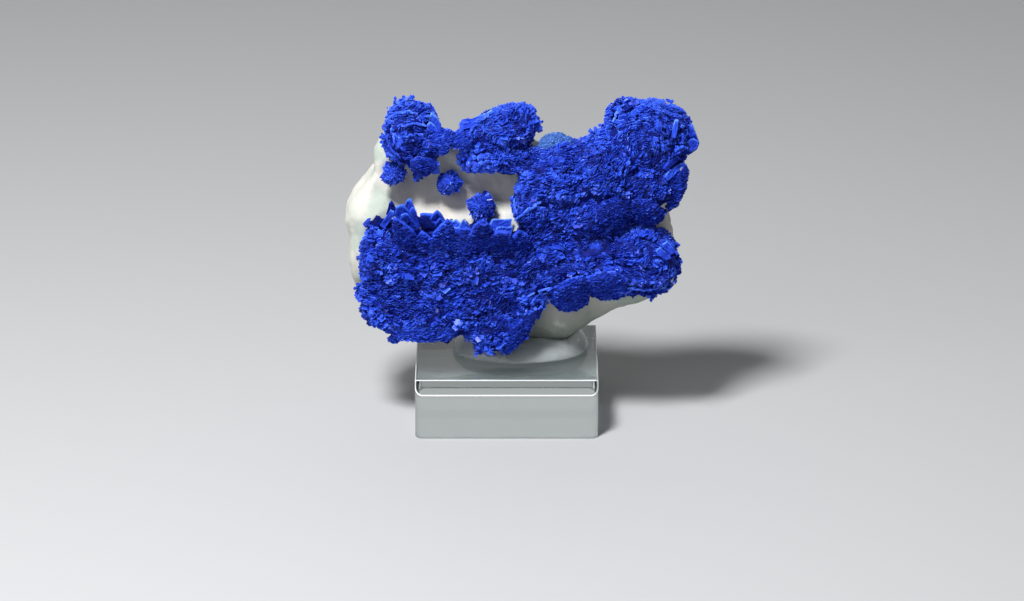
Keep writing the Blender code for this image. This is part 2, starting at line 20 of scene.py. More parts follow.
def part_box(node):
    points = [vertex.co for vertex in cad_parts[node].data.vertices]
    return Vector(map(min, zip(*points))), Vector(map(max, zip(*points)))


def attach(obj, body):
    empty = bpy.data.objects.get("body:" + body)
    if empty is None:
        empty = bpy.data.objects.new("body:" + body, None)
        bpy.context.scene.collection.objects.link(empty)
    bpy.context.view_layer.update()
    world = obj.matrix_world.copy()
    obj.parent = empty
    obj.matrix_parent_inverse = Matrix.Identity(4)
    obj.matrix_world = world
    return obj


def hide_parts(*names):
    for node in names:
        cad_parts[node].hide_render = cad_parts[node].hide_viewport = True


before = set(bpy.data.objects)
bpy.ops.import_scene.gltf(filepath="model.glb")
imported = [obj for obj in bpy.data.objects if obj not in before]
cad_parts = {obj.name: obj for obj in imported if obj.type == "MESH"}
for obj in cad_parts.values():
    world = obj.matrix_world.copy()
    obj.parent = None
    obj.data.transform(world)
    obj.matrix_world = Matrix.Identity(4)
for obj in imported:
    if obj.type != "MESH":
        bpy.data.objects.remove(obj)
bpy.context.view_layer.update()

MM = 0.001
BODY = "root"
LOG = logging.getLogger("azurite_specimen")

Row = tuple[float, ...]
Span = tuple[float, float]
Array = np.ndarray
Chance = np.random.Generator
Socket = bpy.types.NodeSocket


class Slot(Enum):
    """Material slots of the record."""

    ACRYLIC = "acrylic"
    GEL = "gel"
    CLAY = "clay"
    AZURITE = "azurite"


class Habit(Enum):
    """Ways in which the azurite grows."""

    BLADE = "blade"
    BLOCK = "block"


class ShaderGraph:
    """Adds and joins the shader nodes of one material."""

    def __init__(self, name: str) -> None:
        """Makes the material with its own shader.

        Args:
            name: the material's name.
        """
        self.material = bpy.data.materials.new(name)
        self.material.use_nodes = True
        self.tree = self.material.node_tree
        self.shader = self.tree.nodes["Principled BSDF"]
        self.place = self.add("ShaderNodeTexCoord").outputs["Object"]

    def add(self, kind: str, sockets: dict | None = None, **properties: object) -> bpy.types.ShaderNode:
        """Adds a node.

        Args:
            kind: the node's type.
            sockets: values of input sockets, by name or number.
            properties: the node's own settings.

        Returns:
            The new node.
        """
        node = self.tree.nodes.new(kind)
        for key, value in properties.items():
            setattr(node, key, value)
        for key, value in (sockets or {}).items():
            node.inputs[key].default_value = value
        return node

    def join(self, source: Socket, target: Socket) -> None:
        """Joins an output to an input."""
        self.tree.links.new(source, target)

    def settle(self, values: dict) -> None:
        """Sets constants on the shader's own sockets."""
        for key, value in values.items():
            self.shader.inputs[key].default_value = value

    def noise(self, scale: float, detail: float = 3.0, place: Socket | None = None,
              distortion: float = 0.0) -> Socket:
        """Adds cloud noise.

        Args:
            scale: waves a metre.
            detail: how many finer layers it has.
            place: the coordinates, or the object's own where none are given.
            distortion: how far the waves are bent.

        Returns:
            The noise from 0 to 1.
        """
        node = self.add("ShaderNodeTexNoise", {"Scale": scale, "Detail": detail, "Distortion": distortion})
        self.join(place or self.place, node.inputs["Vector"])
        return node.outputs["Fac"]

    def math(self, operation: str, first: Socket, second: Socket | float,
             clamp: bool = False) -> Socket:
        """Adds one step of arithmetic.

        Args:
            operation: what is done.
            first: the first value.
            second: the second value, a socket or a number.
            clamp: whether the result is kept between 0 and 1.

        Returns:
            The result.
        """
        node = self.add("ShaderNodeMath", operation=operation, use_clamp=clamp)
        self.join(first, node.inputs[0])
        if isinstance(second, Socket):
            self.join(second, node.inputs[1])
        else:
            node.inputs[1].default_value = second
        return node.outputs[0]

    def ramp(self, value: Socket, stops: tuple) -> Socket:
        """Turns a value into colours.

        Args:
            value: where on the ramp a point lies, from 0 to 1.
            stops: pairs of a position and a colour.

        Returns:
            The colour.
        """
        node = self.add("ShaderNodeValToRGB")
        elements = node.color_ramp.elements
        while len(elements) < len(stops):
            elements.new(0.5)
        for element, (position, colour) in zip(elements, stops):
            element.position = position
            element.color = (*colour, 1.0)
        self.join(value, node.inputs["Fac"])
        return node.outputs["Color"]

    def spread(self, value: Socket, low: float, high: float, start: float = 0.0,
               end: float = 1.0) -> Socket:
        """Stretches a value over a new range.

        Args:
            value: the value.
            low: what the start becomes.
            high: what the end becomes.
            start: where the value's own range starts.
            end: where it ends.

        Returns:
            The stretched value.
        """
        sockets = {"From Min": start, "From Max": end, "To Min": low, "To Max": high}
        node = self.add("ShaderNodeMapRange", sockets)
        self.join(value, node.inputs["Value"])
        return node.outputs["Result"]

    def stretch(self, vector: Socket, factors: Row) -> Socket:
        """Multiplies a vector by a factor for each axis.

        Args:
            vector: the vector.
            factors: the three factors.

        Returns:
            The stretched vector.
        """
        node = self.add("ShaderNodeVectorMath", operation="MULTIPLY")
        node.inputs[1].default_value = factors
        self.join(vector, node.inputs[0])
        return node.outputs["Vector"]

    def axes(self, vector: Socket) -> bpy.types.NodeOutputs:
        """Parts a vector into its X, Y and Z.

        Args:
            vector: the vector.

        Returns:
            The three sockets by name.
        """
        node = self.add("ShaderNodeSeparateXYZ")
        self.join(vector, node.inputs["Vector"])
        return node.outputs

    def blend(self, share: Socket | float, first: Socket | tuple,
              second: Socket | tuple, way: str = "MIX") -> Socket:
        """Mixes two colours.

        Args:
            share: how much of the second colour shows.
            first: a colour or a socket.
            second: a colour or a socket.
            way: how they mix.

        Returns:
            The mixed colour.
        """
        node = self.add("ShaderNodeMix", data_type="RGBA", blend_type=way)
        if isinstance(share, Socket):
            self.join(share, node.inputs["Factor"])
        else:
            node.inputs["Factor"].default_value = share
        for key, colour in (("A", first), ("B", second)):
            target = next(s for s in node.inputs if s.name == key and s.type == "RGBA")
            if isinstance(colour, Socket):
                self.join(colour, target)
            else:
                target.default_value = (*colour, 1.0)
        return next(s for s in node.outputs if s.type == "RGBA")

    def attribute(self, name: str) -> bpy.types.ShaderNode:
        """Adds a reader of a value kept on the mesh."""
        return self.add("ShaderNodeAttribute", attribute_type="GEOMETRY", attribute_name=name)

    def relief(self, layers: tuple) -> None:
        """Joins layers of bump to the shader.

        Args:
            layers: pairs of a height socket and the relief's depth in metres.
        """
        normal = None
        for height, depth in layers:
            bump = self.add("ShaderNodeBump", {"Strength": 1.0, "Distance": depth})
            self.join(height, bump.inputs["Height"])
            if normal is not None:
                self.join(normal, bump.inputs["Normal"])
            normal = bump.outputs["Normal"]
        self.join(normal, self.shader.inputs["Normal"])


@dataclass(frozen=True)
class BladeFinish:
    """Azurite blades: deep blue faces, rims painted paler towards the tip as a highlight, growth lines that
    run to the tip.
    """

    name: str = "azurite_blades"
    abyss: Row = (0.002, 0.005, 0.09)
    deep: Row = (0.014, 0.040, 0.47)
    royal: Row = (0.044, 0.130, 0.91)
    pale: Row = (0.150, 0.350, 0.98)
    patch_scale: float = 230.0
    mottle_scale: float = 900.0
    tone_gain: float = 0.50
    rim_highlight_gain: float = 0.52
    patch_gain: float = 0.42
    mottle_gain: float = 0.26
    shade_cut: float = 0.20
    stops: Row = (0.0, 0.32, 0.62, 1.0)
    rim_highlight_span: Span = (0.70, 0.98)
    tip_highlight_span: Span = (-0.5, 0.7)
    least_rim_highlight: float = 0.30
    growth_lines: Row = (7.0, 0.7, 40.0)
    index: float = 1.75
    growth_depth: float = 0.05 * MM
    mottle_depth: float = 0.04 * MM
    roughness: Span = (0.24, 0.60)
    specular: float = 0.14

    def material(self) -> bpy.types.Material:
        """Makes the material of the crystals.

        Returns:
            The material.
        """
        graph = ShaderGraph(self.name)
        grain = graph.attribute("grain").outputs["Vector"]
        parts = graph.axes(grain)
        # Painted highlight: the rims are painted paler, most on the tip side and not at all at the base, as
        # if lit along their thin edges.
        radius = graph.add("ShaderNodeVectorMath", operation="LENGTH")
        graph.join(graph.stretch(grain, (1.0, 1.0, 0.0)), radius.inputs[0])
        edge = graph.spread(radius.outputs["Value"], 0.0, 1.0, *self.rim_highlight_span)
        rim = graph.math("MULTIPLY", edge, graph.spread(parts["Y"], 0.0, 1.0, *self.tip_highlight_span))
        tone = graph.attribute("tone").outputs["Fac"]
        rim = graph.math("MULTIPLY", rim, graph.spread(tone, self.least_rim_highlight, 1.0))
        patches = graph.noise(self.patch_scale, 2.0)
        mottle = graph.noise(self.mottle_scale, 4.0)
        shade = graph.math("MULTIPLY", tone, self.tone_gain)
        gains = ((rim, self.rim_highlight_gain), (patches, self.patch_gain), (mottle, self.mottle_gain))
        for layer, gain in gains:
            shade = graph.math("ADD", shade, graph.math("MULTIPLY", layer, gain))
        shade = graph.math("SUBTRACT", shade, self.shade_cut, clamp=True)
        stops = tuple(zip(self.stops, (self.abyss, self.deep, self.royal, self.pale)))
        graph.join(graph.ramp(shade, stops), graph.shader.inputs["Base Color"])
        growth = graph.noise(1.0, 3.0, graph.stretch(grain, self.growth_lines))
        polish = graph.math("ADD", parts["Z"], graph.math("MULTIPLY", mottle, 0.8))
        graph.join(graph.spread(polish, *self.roughness), graph.shader.inputs["Roughness"])
        graph.relief(((growth, self.growth_depth), (mottle, self.mottle_depth)))
        graph.settle({"IOR": self.index, "Specular IOR Level": self.specular})
        return graph.material


# A darker copy of the blade finish for the large blades: its darker colours are partly painted shade on their
# broad faces, with a stronger painted rim highlight.
LEAF_BLADES = BladeFinish(
    name="large_azurite_blades",
    abyss=(0.001, 0.003, 0.05),
    deep=(0.008, 0.024, 0.36),
    royal=(0.034, 0.105, 0.82),
    mottle_scale=1300.0,
    rim_highlight_gain=0.60,
    shade_cut=0.22,
    growth_depth=0.16 * MM,
    mottle_depth=0.14 * MM,
    roughness=(0.40, 0.75),
    specular=0.06,
)
PALE_BLADES = BladeFinish(
    name="pale_azurite",
    abyss=(0.02, 0.06, 0.22),
    deep=(0.05, 0.13, 0.42),
    royal=(0.09, 0.22, 0.62),
    pale=(0.22, 0.40, 0.78),
)


@dataclass(frozen=True)
class BedFinish:
    """Azurite between the blades: darker, as painted shade in the crevices between them, with a fine
    crystalline grain.
    """

    deep: Row = (0.001, 0.003, 0.06)
    royal: Row = (0.003, 0.014, 0.26)
    grain_scale: float = 1500.0
    grain_depth: float = 0.15 * MM
    patch_scale: float = 240.0
    patch_depth: float = 0.2 * MM
    roughness: Span = (0.55, 0.85)

    def material(self) -> bpy.types.Material:
        """Makes the material of the skin under the crystals.

        Returns:
            The material.
        """
        graph = ShaderGraph("azurite_bed")
        patches = graph.noise(self.patch_scale, 3.0)
        cells = graph.add("ShaderNodeTexVoronoi", {"Scale": self.grain_scale})
        graph.join(graph.place, cells.inputs["Vector"])
        grains = graph.math("MULTIPLY", cells.outputs["Color"], 0.4)
        shade = graph.math("ADD", graph.math("MULTIPLY", patches, 0.7), grains)
        shade = graph.math("SUBTRACT", shade, 0.1, clamp=True)
        graph.join(graph.ramp(shade, ((0.1, self.deep),
        (0.9, self.royal))), graph.shader.inputs["Base Color"])
        graph.join(graph.spread(patches, *self.roughness), graph.shader.inputs["Roughness"])
        graph.relief(((cells.outputs["Distance"], self.grain_depth), (patches, self.patch_depth)))
        graph.settle({"IOR": 1.75, "Specular IOR Level": 0.08})
        return graph.material


@dataclass(frozen=True)
class ClayFinish:
    """White kaolin: chalky, with cream and grey-green clouds, fine grains, a blue tinge by the crusts, and
    painted shade darkening it towards its foot.
    """

    white: Row = (0.63, 0.62, 0.575)
    cream: Row = (0.74, 0.68, 0.58)
    cool: Row = (0.46, 0.52, 0.46)
    tinge: Row = (0.10, 0.16, 0.36)
    # Painted shade: the dark grey-green that the clay turns towards its foot, by height
    foot: Row = (0.15, 0.19, 0.165)
    foot_shade_span: Span = (34.0 * MM, 17.0 * MM)
    foot_shade_share: float = 0.85
    speck: Row = (0.55, 0.50, 0.42)
    speck_share: float = 0.35
    cloud_scale: float = 90.0
    grain_scale: float = 2200.0
    grain_depth: float = 0.03 * MM
    lump_depth: float = 0.12 * MM
    roughness: Span = (0.78, 0.98)

    def material(self) -> bpy.types.Material:
        """Makes the material of the clay.

        Returns:
            The material.
        """
        graph = ShaderGraph("white_clay")
        clouds = graph.noise(self.cloud_scale, 4.0, distortion=0.6)
        veins = graph.noise(self.cloud_scale * 1.7, 6.0, distortion=1.2)
        grains = graph.noise(self.grain_scale, 3.0)
        lumps = graph.noise(self.grain_scale / 6.0, 5.0)
        colour = graph.ramp(clouds, ((0.38, self.cool), (0.50, self.white), (0.62, self.white),
        (0.74, self.cream)))
        specks = graph.ramp(grains, ((0.30, self.speck), (0.38, (1.0, 1.0, 1.0))))
        mixed = graph.blend(self.speck_share, colour, specks, "MULTIPLY")
        # Painted shade: darker towards the bottom of the clay
        foot = graph.spread(graph.axes(graph.place)["Z"], 0.0, self.foot_shade_share, *self.foot_shade_span)
        mixed = graph.blend(foot, mixed, self.foot)
        near = graph.attribute("near_blue").outputs["Fac"]
        tinge = graph.math("MULTIPLY", near, graph.spread(veins, -0.4, 1.2), clamp=True)
        graph.join(graph.blend(tinge, mixed, self.tinge), graph.shader.inputs["Base Color"])
        graph.join(graph.spread(lumps, *self.roughness), graph.shader.inputs["Roughness"])
        graph.relief(((lumps, self.lump_depth), (grains, self.grain_depth)))
        graph.settle({"IOR": 1.5, "Specular IOR Level": 0.2})
        return graph.material


@dataclass(frozen=True)
class AcrylicFinish:
    """Clear acrylic: polished faces, and the narrow ground strips along the sawn edges."""

    tint: Row = (0.90, 0.96, 0.95)
    frost: Row = (0.93, 0.96, 0.96)
    absorption: float = 7.0
    polished_roughness: Span = (0.0, 0.035)
    polished_depth: float = 0.0008 * MM
    ground_roughness: Span = (0.30, 0.62)
    ground_depth: float = 0.02 * MM
    ground_transmission: float = 0.12

    def material(self, ground: bool) -> bpy.types.Material:
        """Makes the material of the polished faces or of the ground edges.

        Args:
            ground: whether it is the material of the ground edges.

        Returns:
            The material.
        """
        graph = ShaderGraph("ground_acrylic_edge" if ground else "polished_acrylic")
        haze = graph.noise(260.0, 3.0)
        scratches = graph.noise(5200.0, 2.0)
        roughness = self.ground_roughness if ground else self.polished_roughness
        graph.join(graph.spread(haze, *roughness), graph.shader.inputs["Roughness"])
        graph.relief(((scratches, self.ground_depth if ground else self.polished_depth),))
        graph.settle({
            "Base Color": (*(self.frost if ground else self.tint), 1.0),
            "Transmission Weight": self.ground_transmission if ground else 1.0,
            "IOR": 1.49,
        })
        if not ground:
            sockets = {"Color": (*self.tint, 1.0), "Density": self.absorption}
            depth = graph.add("ShaderNodeVolumeAbsorption", sockets)
            output = graph.tree.nodes["Material Output"]
            graph.join(depth.outputs["Volume"], output.inputs["Volume"])
        return graph.material


@dataclass(frozen=True)
class GelFinish:
    """Mounting gel: milky, grey-blue, see-through at its thin edge."""

    milk: Row = (0.66, 0.72, 0.74)
    cream: Row = (0.80, 0.84, 0.85)
    roughness: Span = (0.10, 0.34)
    ripple_depth: float = 0.03 * MM
    transmission: float = 0.60

    def material(self) -> bpy.types.Material:
        """Makes the material of the gel.

        Returns:
            The material.
        """
        graph = ShaderGraph("milky_gel")
        haze = graph.noise(350.0, 4.0)
        clouds = graph.ramp(haze, ((0.35, self.milk), (0.70, self.cream)))
        graph.join(clouds, graph.shader.inputs["Base Color"])
        graph.join(graph.spread(haze, *self.roughness), graph.shader.inputs["Roughness"])
        graph.relief(((graph.noise(500.0, 2.0), self.ripple_depth),))
        graph.settle({"Transmission Weight": self.transmission, "IOR": 1.42})
        return graph.material


@dataclass(frozen=True)
class FloorFinish:
    """Plain pale floor."""

    colour: Row = (0.50, 0.51, 0.52)

    def material(self) -> bpy.types.Material:
        """Makes the floor's material.

        Returns:
            The material.
        """
        graph = ShaderGraph("pale_floor")
        graph.settle({"Base Color": (*self.colour, 1.0), "Roughness": 0.6, "Specular IOR Level": 0.2})
        return graph.material


@dataclass(frozen=True)
class CrystalForm:
    """Unit shape of a crystal: X runs across it, Y to its tip and Z through its thickness."""

    points: Array
    triangles: Array

    @classmethod
    def tablet(cls, corners: int, taper: float, terraces: int, rng: Chance) -> "CrystalForm":
        """Makes a flat, uneven prism with a corner as its tip.

        Args:
            corners: how many corners its outline has.
            taper: how wide one face is against the other.
            terraces: how many low growth steps each face has.
            rng: source of chance.

        Returns:
            The form.
        """
        bm = bmesh.new()
        bmesh.ops.create_cone(bm, cap_ends=True, segments=corners, radius1=1.0, radius2=taper, depth=1.0)
        reach = rng.uniform(0.80, 1.12, corners)
        turn = rng.uniform(-0.20, 0.20, corners)
        for vert in bm.verts:
            angle = math.atan2(vert.co.y, vert.co.x)
            corner = round(angle / (2.0 * math.pi) * corners - corners / 4.0) % corners
            radius = vert.co.xy.length * reach[corner]
            vert.co.x = radius * math.cos(angle + turn[corner])
            vert.co.y = radius * math.sin(angle + turn[corner])
        step = 0.15
        for level in range(terraces):
            caps = [face for face in bm.faces if abs(face.normal.z) > 0.9 and len(face.verts) == corners]
            depth = step if level % 2 == 0 else -step
            bmesh.ops.inset_individual(bm, faces=caps, thickness=step * (level + 1), depth=depth)
        bmesh.ops.triangulate(bm, faces=bm.faces)
        points = np.array([vert.co for vert in bm.verts])
        triangles = np.array([[vert.index for vert in face.verts] for face in bm.faces])
        bm.free()
        return cls(points, triangles)


def plate_forms(rng: Chance) -> list[CrystalForm]:
    """Makes four six-sided unit plates with one growth step."""
    return [CrystalForm.tablet(6, 0.88, 1, rng) for _ in range(4)]


@dataclass
class CrystalMesh:
    """Crystals gathered as arrays, which become one joined mesh."""

    rng: Chance
    points: list[Array] = field(default_factory=list)
    triangles: list[Array] = field(default_factory=list)
    grains: list[Array] = field(default_factory=list)
    tones: list[Array] = field(default_factory=list)
    count: int = 0
    crystals: int = 0

    def grow(self, form: CrystalForm, places: Array, axes: Array, sizes: Array,
             tones: Array, unevenness: float = 0.18) -> None:
        """Adds one crystal of a form at each place.

        Args:
            form: the unit shape.
            places: centres, one row each.
            axes: three rows a crystal: across, to the tip and through.
            sizes: width, height and thickness, one row each.
            tones: how pale each is, from 0 to 1.
            unevenness: how far outlines stray from the form.
        """
        number = len(places)
        if number == 0:
            return
        shape = np.repeat(form.points[None], number, axis=0)
        skew = self.rng.normal(0.0, unevenness, (number, 1))
        narrowing = self.rng.normal(-0.08, unevenness, (number, 1))
        local = shape.copy()
        local[:, :, 0] = shape[:, :, 0] * (1.0 + narrowing * shape[:, :, 1]) + skew * shape[:, :, 1]
        local *= (sizes * (0.5, 0.5, 1.0))[:, None, :]
        world = places[:, None, :] + np.einsum("nkc,ncd->nkd", local, axes)
        grain = shape.copy()
        grain[:, :, 2] = self.rng.uniform(-1.0, 1.0, (number, 1))
        offsets = self.count + np.arange(number)[:, None, None] * len(form.points)
        self.points.append(world.reshape(-1, 3))
        self.triangles.append((form.triangles[None] + offsets).reshape(-1, 3))
        self.grains.append(grain.reshape(-1, 3))
        self.tones.append(np.repeat(tones, len(form.points)))
        self.count += number * len(form.points)
        self.crystals += number

    def append(self, points: Array, triangles: Array, grain: Array, tone: float) -> None:
        """Adds one crystal with a shape of its own.

        Args:
            points: its corners in metres, one row each.
            triangles: numbers of its corners, three a row.
            grain: where each corner lies on the unit shape.
            tone: how pale it is, from 0 to 1.
        """
        self.points.append(points)
        self.triangles.append(triangles + self.count)
        self.grains.append(grain)
        self.tones.append(np.full(len(points), tone))
        self.count += len(points)
        self.crystals += 1

    def write(self, name: str) -> bpy.types.Object:
        """Writes the crystals as one object.

        Args:
            name: the object's name.

        Returns:
            The object.
        """
        points = np.concatenate(self.points)
        triangles = np.concatenate(self.triangles)
        mesh = bpy.data.meshes.new(name)
        mesh.vertices.add(len(points))
        mesh.vertices.foreach_set("co", points.astype(np.float32).ravel())
        mesh.loops.add(triangles.size)
        mesh.loops.foreach_set("vertex_index", triangles.astype(np.int32).ravel())
        mesh.polygons.add(len(triangles))
        mesh.polygons.foreach_set("loop_start", np.arange(0, triangles.size, 3, dtype=np.int32))
        mesh.update(calc_edges=True)
        grain = mesh.attributes.new("grain", "FLOAT_VECTOR", "POINT")
        grain.data.foreach_set("vector", np.concatenate(self.grains).astype(np.float32).ravel())
        tone = mesh.attributes.new("tone", "FLOAT", "POINT")
        tone.data.foreach_set("value", np.concatenate(self.tones).astype(np.float32))
        mesh.shade_flat()
        return add_object(name, mesh)


def add_object(name: str, data: bpy.types.ID) -> bpy.types.Object:
    """Puts a new object in the scene.

    Args:
        name: the object's name.
        data: its mesh, light or camera.

    Returns:
        The object.
    """
    obj = bpy.data.objects.new(name, data)
    bpy.context.scene.collection.objects.link(obj)
    return obj


def front_gap(places: Array, x: float, z: float) -> Array:
    """Distances in metres from a spot given in millimetres, seen from the front."""
    return np.hypot(places[:, 0] - x * MM, places[:, 2] - z * MM)


def signed_area(corners: Array) -> float:
    """Finds the area inside an outline, less than zero where its corners run clockwise."""
    ahead = np.roll(corners, -1, axis=0)
    return float(np.sum(corners[:, 0] * ahead[:, 1] - ahead[:, 0] * corners[:, 1])) / 2.0


def points_of(mesh: bpy.types.Mesh) -> Array:
    """Reads the places of a mesh's points.

    Args:
        mesh: the mesh.

    Returns:
        The places, one row each.
    """
    points = np.empty(len(mesh.vertices) * 3)
    mesh.vertices.foreach_get("co", points)
    return points.reshape(-1, 3)


@dataclass(frozen=True)
class FineBlades:
    """The fine blades: their size and spacing in millimetres, and how far each strays."""

    size: Row = (0.84, 0.94, 0.11)
    corners: int = 5
    taper: float = 0.86
    spacing: float = 0.27
    jitter: float = 0.35
    rise: Span = (-0.16, 0.16)
    turn: float = 0.25
    turn_stray: float = 0.30
    lean: float = 0.15
    lean_stray: float = 0.22
    sway: float = 0.2
    spread: float = 0.24
    tone_stray: float = 0.17
    face_slant: float = 0.4
    rim_slant: float = 1.4
    rim_depth: float = 0.5
    kinds: int = 4


FINE = FineBlades()

# Large blades: the most bulge with a bare rim, the area from which a second layer grows, and its sizes
SHARD_BULGE = 0.3
BROAD_AREA = 6.0
SECOND_LAYER = 0.80
SECOND_RISE = 0.28
SECOND_WALL = 0.34
RIM_BEVEL = 0.07


@dataclass(frozen=True)
class Leaf:
    """One large blade by its outline: depth, slopes of its face, thickness, tone and corners in x and z."""

    y: float
    slope_x: float
    slope_z: float
    thickness: float
    tone: float
    corners: tuple[Row, ...]
    bulge: float = 0.0
    stray: float = 0.05

    def grow(self, mesh: CrystalMesh, rng: Chance) -> None:
        """Adds the blade to a mesh, and a smaller one in front of its foot if it is a broad one.

        Args:
            mesh: the mesh.
            rng: source of chance.
        """
        self.layer(mesh, rng)
        if self.area() > BROAD_AREA:
            drop = np.array((rng.choice((-0.7, 0.7)), -rng.uniform(0.9, 1.4)))
            self.layer(mesh, rng, SECOND_LAYER, drop, SECOND_RISE)

    def cover(self, mesh: CrystalMesh, rng: Chance, lean: float = FINE.lean, radial: bool = False) -> None:
        """Covers the blade with fine blades, and its rim too if it isn't as flat as a shard.

        Args:
            mesh: the mesh.
            rng: source of chance.
            lean: how far they lie down, in radians.
            radial: whether their rims run out from the middle.
        """
        low, high = np.min(self.corners, axis=0), np.max(self.corners, axis=0)
        steps = [np.arange(start, end, FINE.spacing) for start, end in zip(low, high)]
        flat = np.stack(np.meshgrid(*steps), axis=-1).reshape(-1, 2)
        flat = flat + rng.normal(0.0, FINE.jitter * FINE.spacing, flat.shape)
        flat = flat[inside(self.corners, self.lifted(flat, 0.0))]
        inner = len(flat)
        if self.bulge > SHARD_BULGE:
            flat = np.concatenate((flat, *self.edge_rows()))
        number = len(flat)
        on_edge = np.arange(number) >= inner
        slant = np.where(on_edge, FINE.rim_slant, FINE.face_slant)
        apart = (flat - (low + high) / 2.0) / ((high - low) / 2.0)
        reach = np.clip(np.linalg.norm(apart, axis=1), 0.0, 1.0)
        behind = rng.uniform(-FINE.rim_depth, 0.0, number)
        forward = np.where(on_edge, behind, self.bulge * (1.0 - reach ** 2))
        places = self.lifted(flat, forward + rng.uniform(*FINE.rise, number))
        across = self.slope_x + slant * apart[:, 0]
        upward = self.slope_z + slant * apart[:, 1]
        normals = unit(np.stack((across, np.full(number, -1.0), upward), axis=1))
        turns = np.arctan2(apart[:, 1], apart[:, 0]) if radial else np.full(number, FINE.turn)
        rims = rim_rows(turns + rng.normal(0.0, FINE.turn_stray, number))
        leans = rng.normal(lean, FINE.lean_stray, number)
        axes = standing_axes(normals, rims, leans, rng.normal(0.0, FINE.sway, number))
        sizes = np.array(FINE.size) * rng.lognormal(0.0, FINE.spread, (number, 1)) * MM
        tones = np.clip(rng.normal(self.tone, FINE.tone_stray, number), 0.0, 1.0)
        for kind in range(FINE.kinds):
            own = slice(kind, None, FINE.kinds)
            form = CrystalForm.tablet(FINE.corners, FINE.taper, 0, rng)
            mesh.grow(form, places[own], axes[own], sizes[own], tones[own])

    def edge_rows(self) -> list[Array]:
        """Walks round the outline in steps of half the fine spacing.

        Returns:
            The places in x and z in millimetres, edge by edge.
        """
        corners = np.array(self.corners)
        rows = []
        for start, end in zip(corners, np.roll(corners, -1, axis=0)):
            number = max(2, int(2.0 * np.linalg.norm(end - start) / FINE.spacing))
            rows.append(start + (end - start) * np.linspace(0.0, 1.0, number, endpoint=False)[:, None])
        return rows

    def area(self) -> float:
        """Finds the area inside the outline in square millimetres."""
        return abs(signed_area(np.array(self.corners)))

    def layer(self, mesh: CrystalMesh, rng: Chance, size: float = 1.0,
              drop: Array | float = 0.0, ahead: float = 0.0) -> None:
        """Adds one layer: a wall, a slanting rim and an uneven face.

        Args:
            mesh: the mesh.
            rng: source of chance.
            size: its size against the outline.
            drop: how far it lies from the outline in x and z, in millimetres.
            ahead: how far it stands out, in millimetres.
        """
        outline = self.outline(rng)
        middle = outline.mean(axis=0)
        outline = middle + (outline - middle) * size + drop
        middle = middle + drop
        number = len(outline)
        wall = self.thickness if ahead == 0.0 else SECOND_WALL
        rings = (
            (1.0, ahead - wall), (1.0, ahead - RIM_BEVEL), (0.96, ahead), (0.66, ahead + 0.6 * self.bulge),
            (0.34, ahead + 0.9 * self.bulge),
        )
        spots = []
        grain = []
        turns = np.arctan2(outline[:, 1] - middle[1], outline[:, 0] - middle[0])
        seed = rng.uniform(-1.0, 1.0)
        for scale, forward in rings:
            stray = rng.normal(0.0, 1.6 * self.stray, number) if scale < 0.8 else 0.0
            spots.append(self.lifted(middle + (outline - middle) * scale, forward + stray))
            around = scale * np.stack((np.cos(turns), np.sin(turns)), axis=1)
            grain.append(np.column_stack((around, np.full(number, seed))))
        spots.append(self.lifted(np.stack((middle, middle)), np.array((ahead + self.bulge, ahead - wall))))
        grain.append(np.array(((0.0, 0.0, seed), (1.0, 0.0, seed))))
        here = np.arange(number)
        after = np.roll(here, -1)
        face, back = len(rings) * number, len(rings) * number + 1
        triangles = [np.stack((after, here, np.full(number, back)), axis=1)]
        for ring in range(len(rings) - 1):
            low, high = ring * number, (ring + 1) * number
            triangles.append(np.stack((low + here, low + after, high + after), axis=1))
            triangles.append(np.stack((low + here, high + after, high + here), axis=1))
        last = (len(rings) - 1) * number
        triangles.append(np.stack((last + here, last + after, np.full(number, face)), axis=1))
        mesh.append(np.concatenate(spots), np.concatenate(triangles), np.concatenate(grain), self.tone)

    def outline(self, rng: Chance) -> Array:
        """Winds the corners one way round and adds uneven ones between them.

        Args:
            rng: source of chance.

        Returns:
            The outline's x and z in millimetres, one row each.
        """
        corners = np.array(self.corners)
        if signed_area(corners) < 0.0:
            corners = corners[::-1]
        between = (corners + np.roll(corners, -1, axis=0)) / 2.0 + rng.normal(0.0, self.stray, corners.shape)
        return np.stack((corners, between), axis=1).reshape(-1, 2)

    def lifted(self, flat: Array, forward: Array | float) -> Array:
        """Sets places of the outline's plane in space.

        Args:
            flat: x and z in millimetres, one row each.
            forward: how far they stand out towards the viewer, in millimetres.

        Returns:
            The places in metres.
        """
        middle = np.mean(self.corners, axis=0)
        x, z = flat.T
        y = self.y + self.slope_x * (x - middle[0]) + self.slope_z * (z - middle[1])
        normal = np.array((self.slope_x, -1.0, self.slope_z))
        normal /= np.linalg.norm(normal)
        return (np.stack((x, y, z), axis=1) + np.reshape(forward, (-1, 1)) * normal) * MM


@dataclass(frozen=True)
class Flow:
    """Stretch where the rims of the blades run one way, seen from the front."""

    x: float
    z: float
    angle: float
    reach: float = 4.5


@dataclass(frozen=True)
class Fan:
    """Stretch where the rims of the blades run round a middle."""

    x: float
    z: float
    reach: float = 3.5


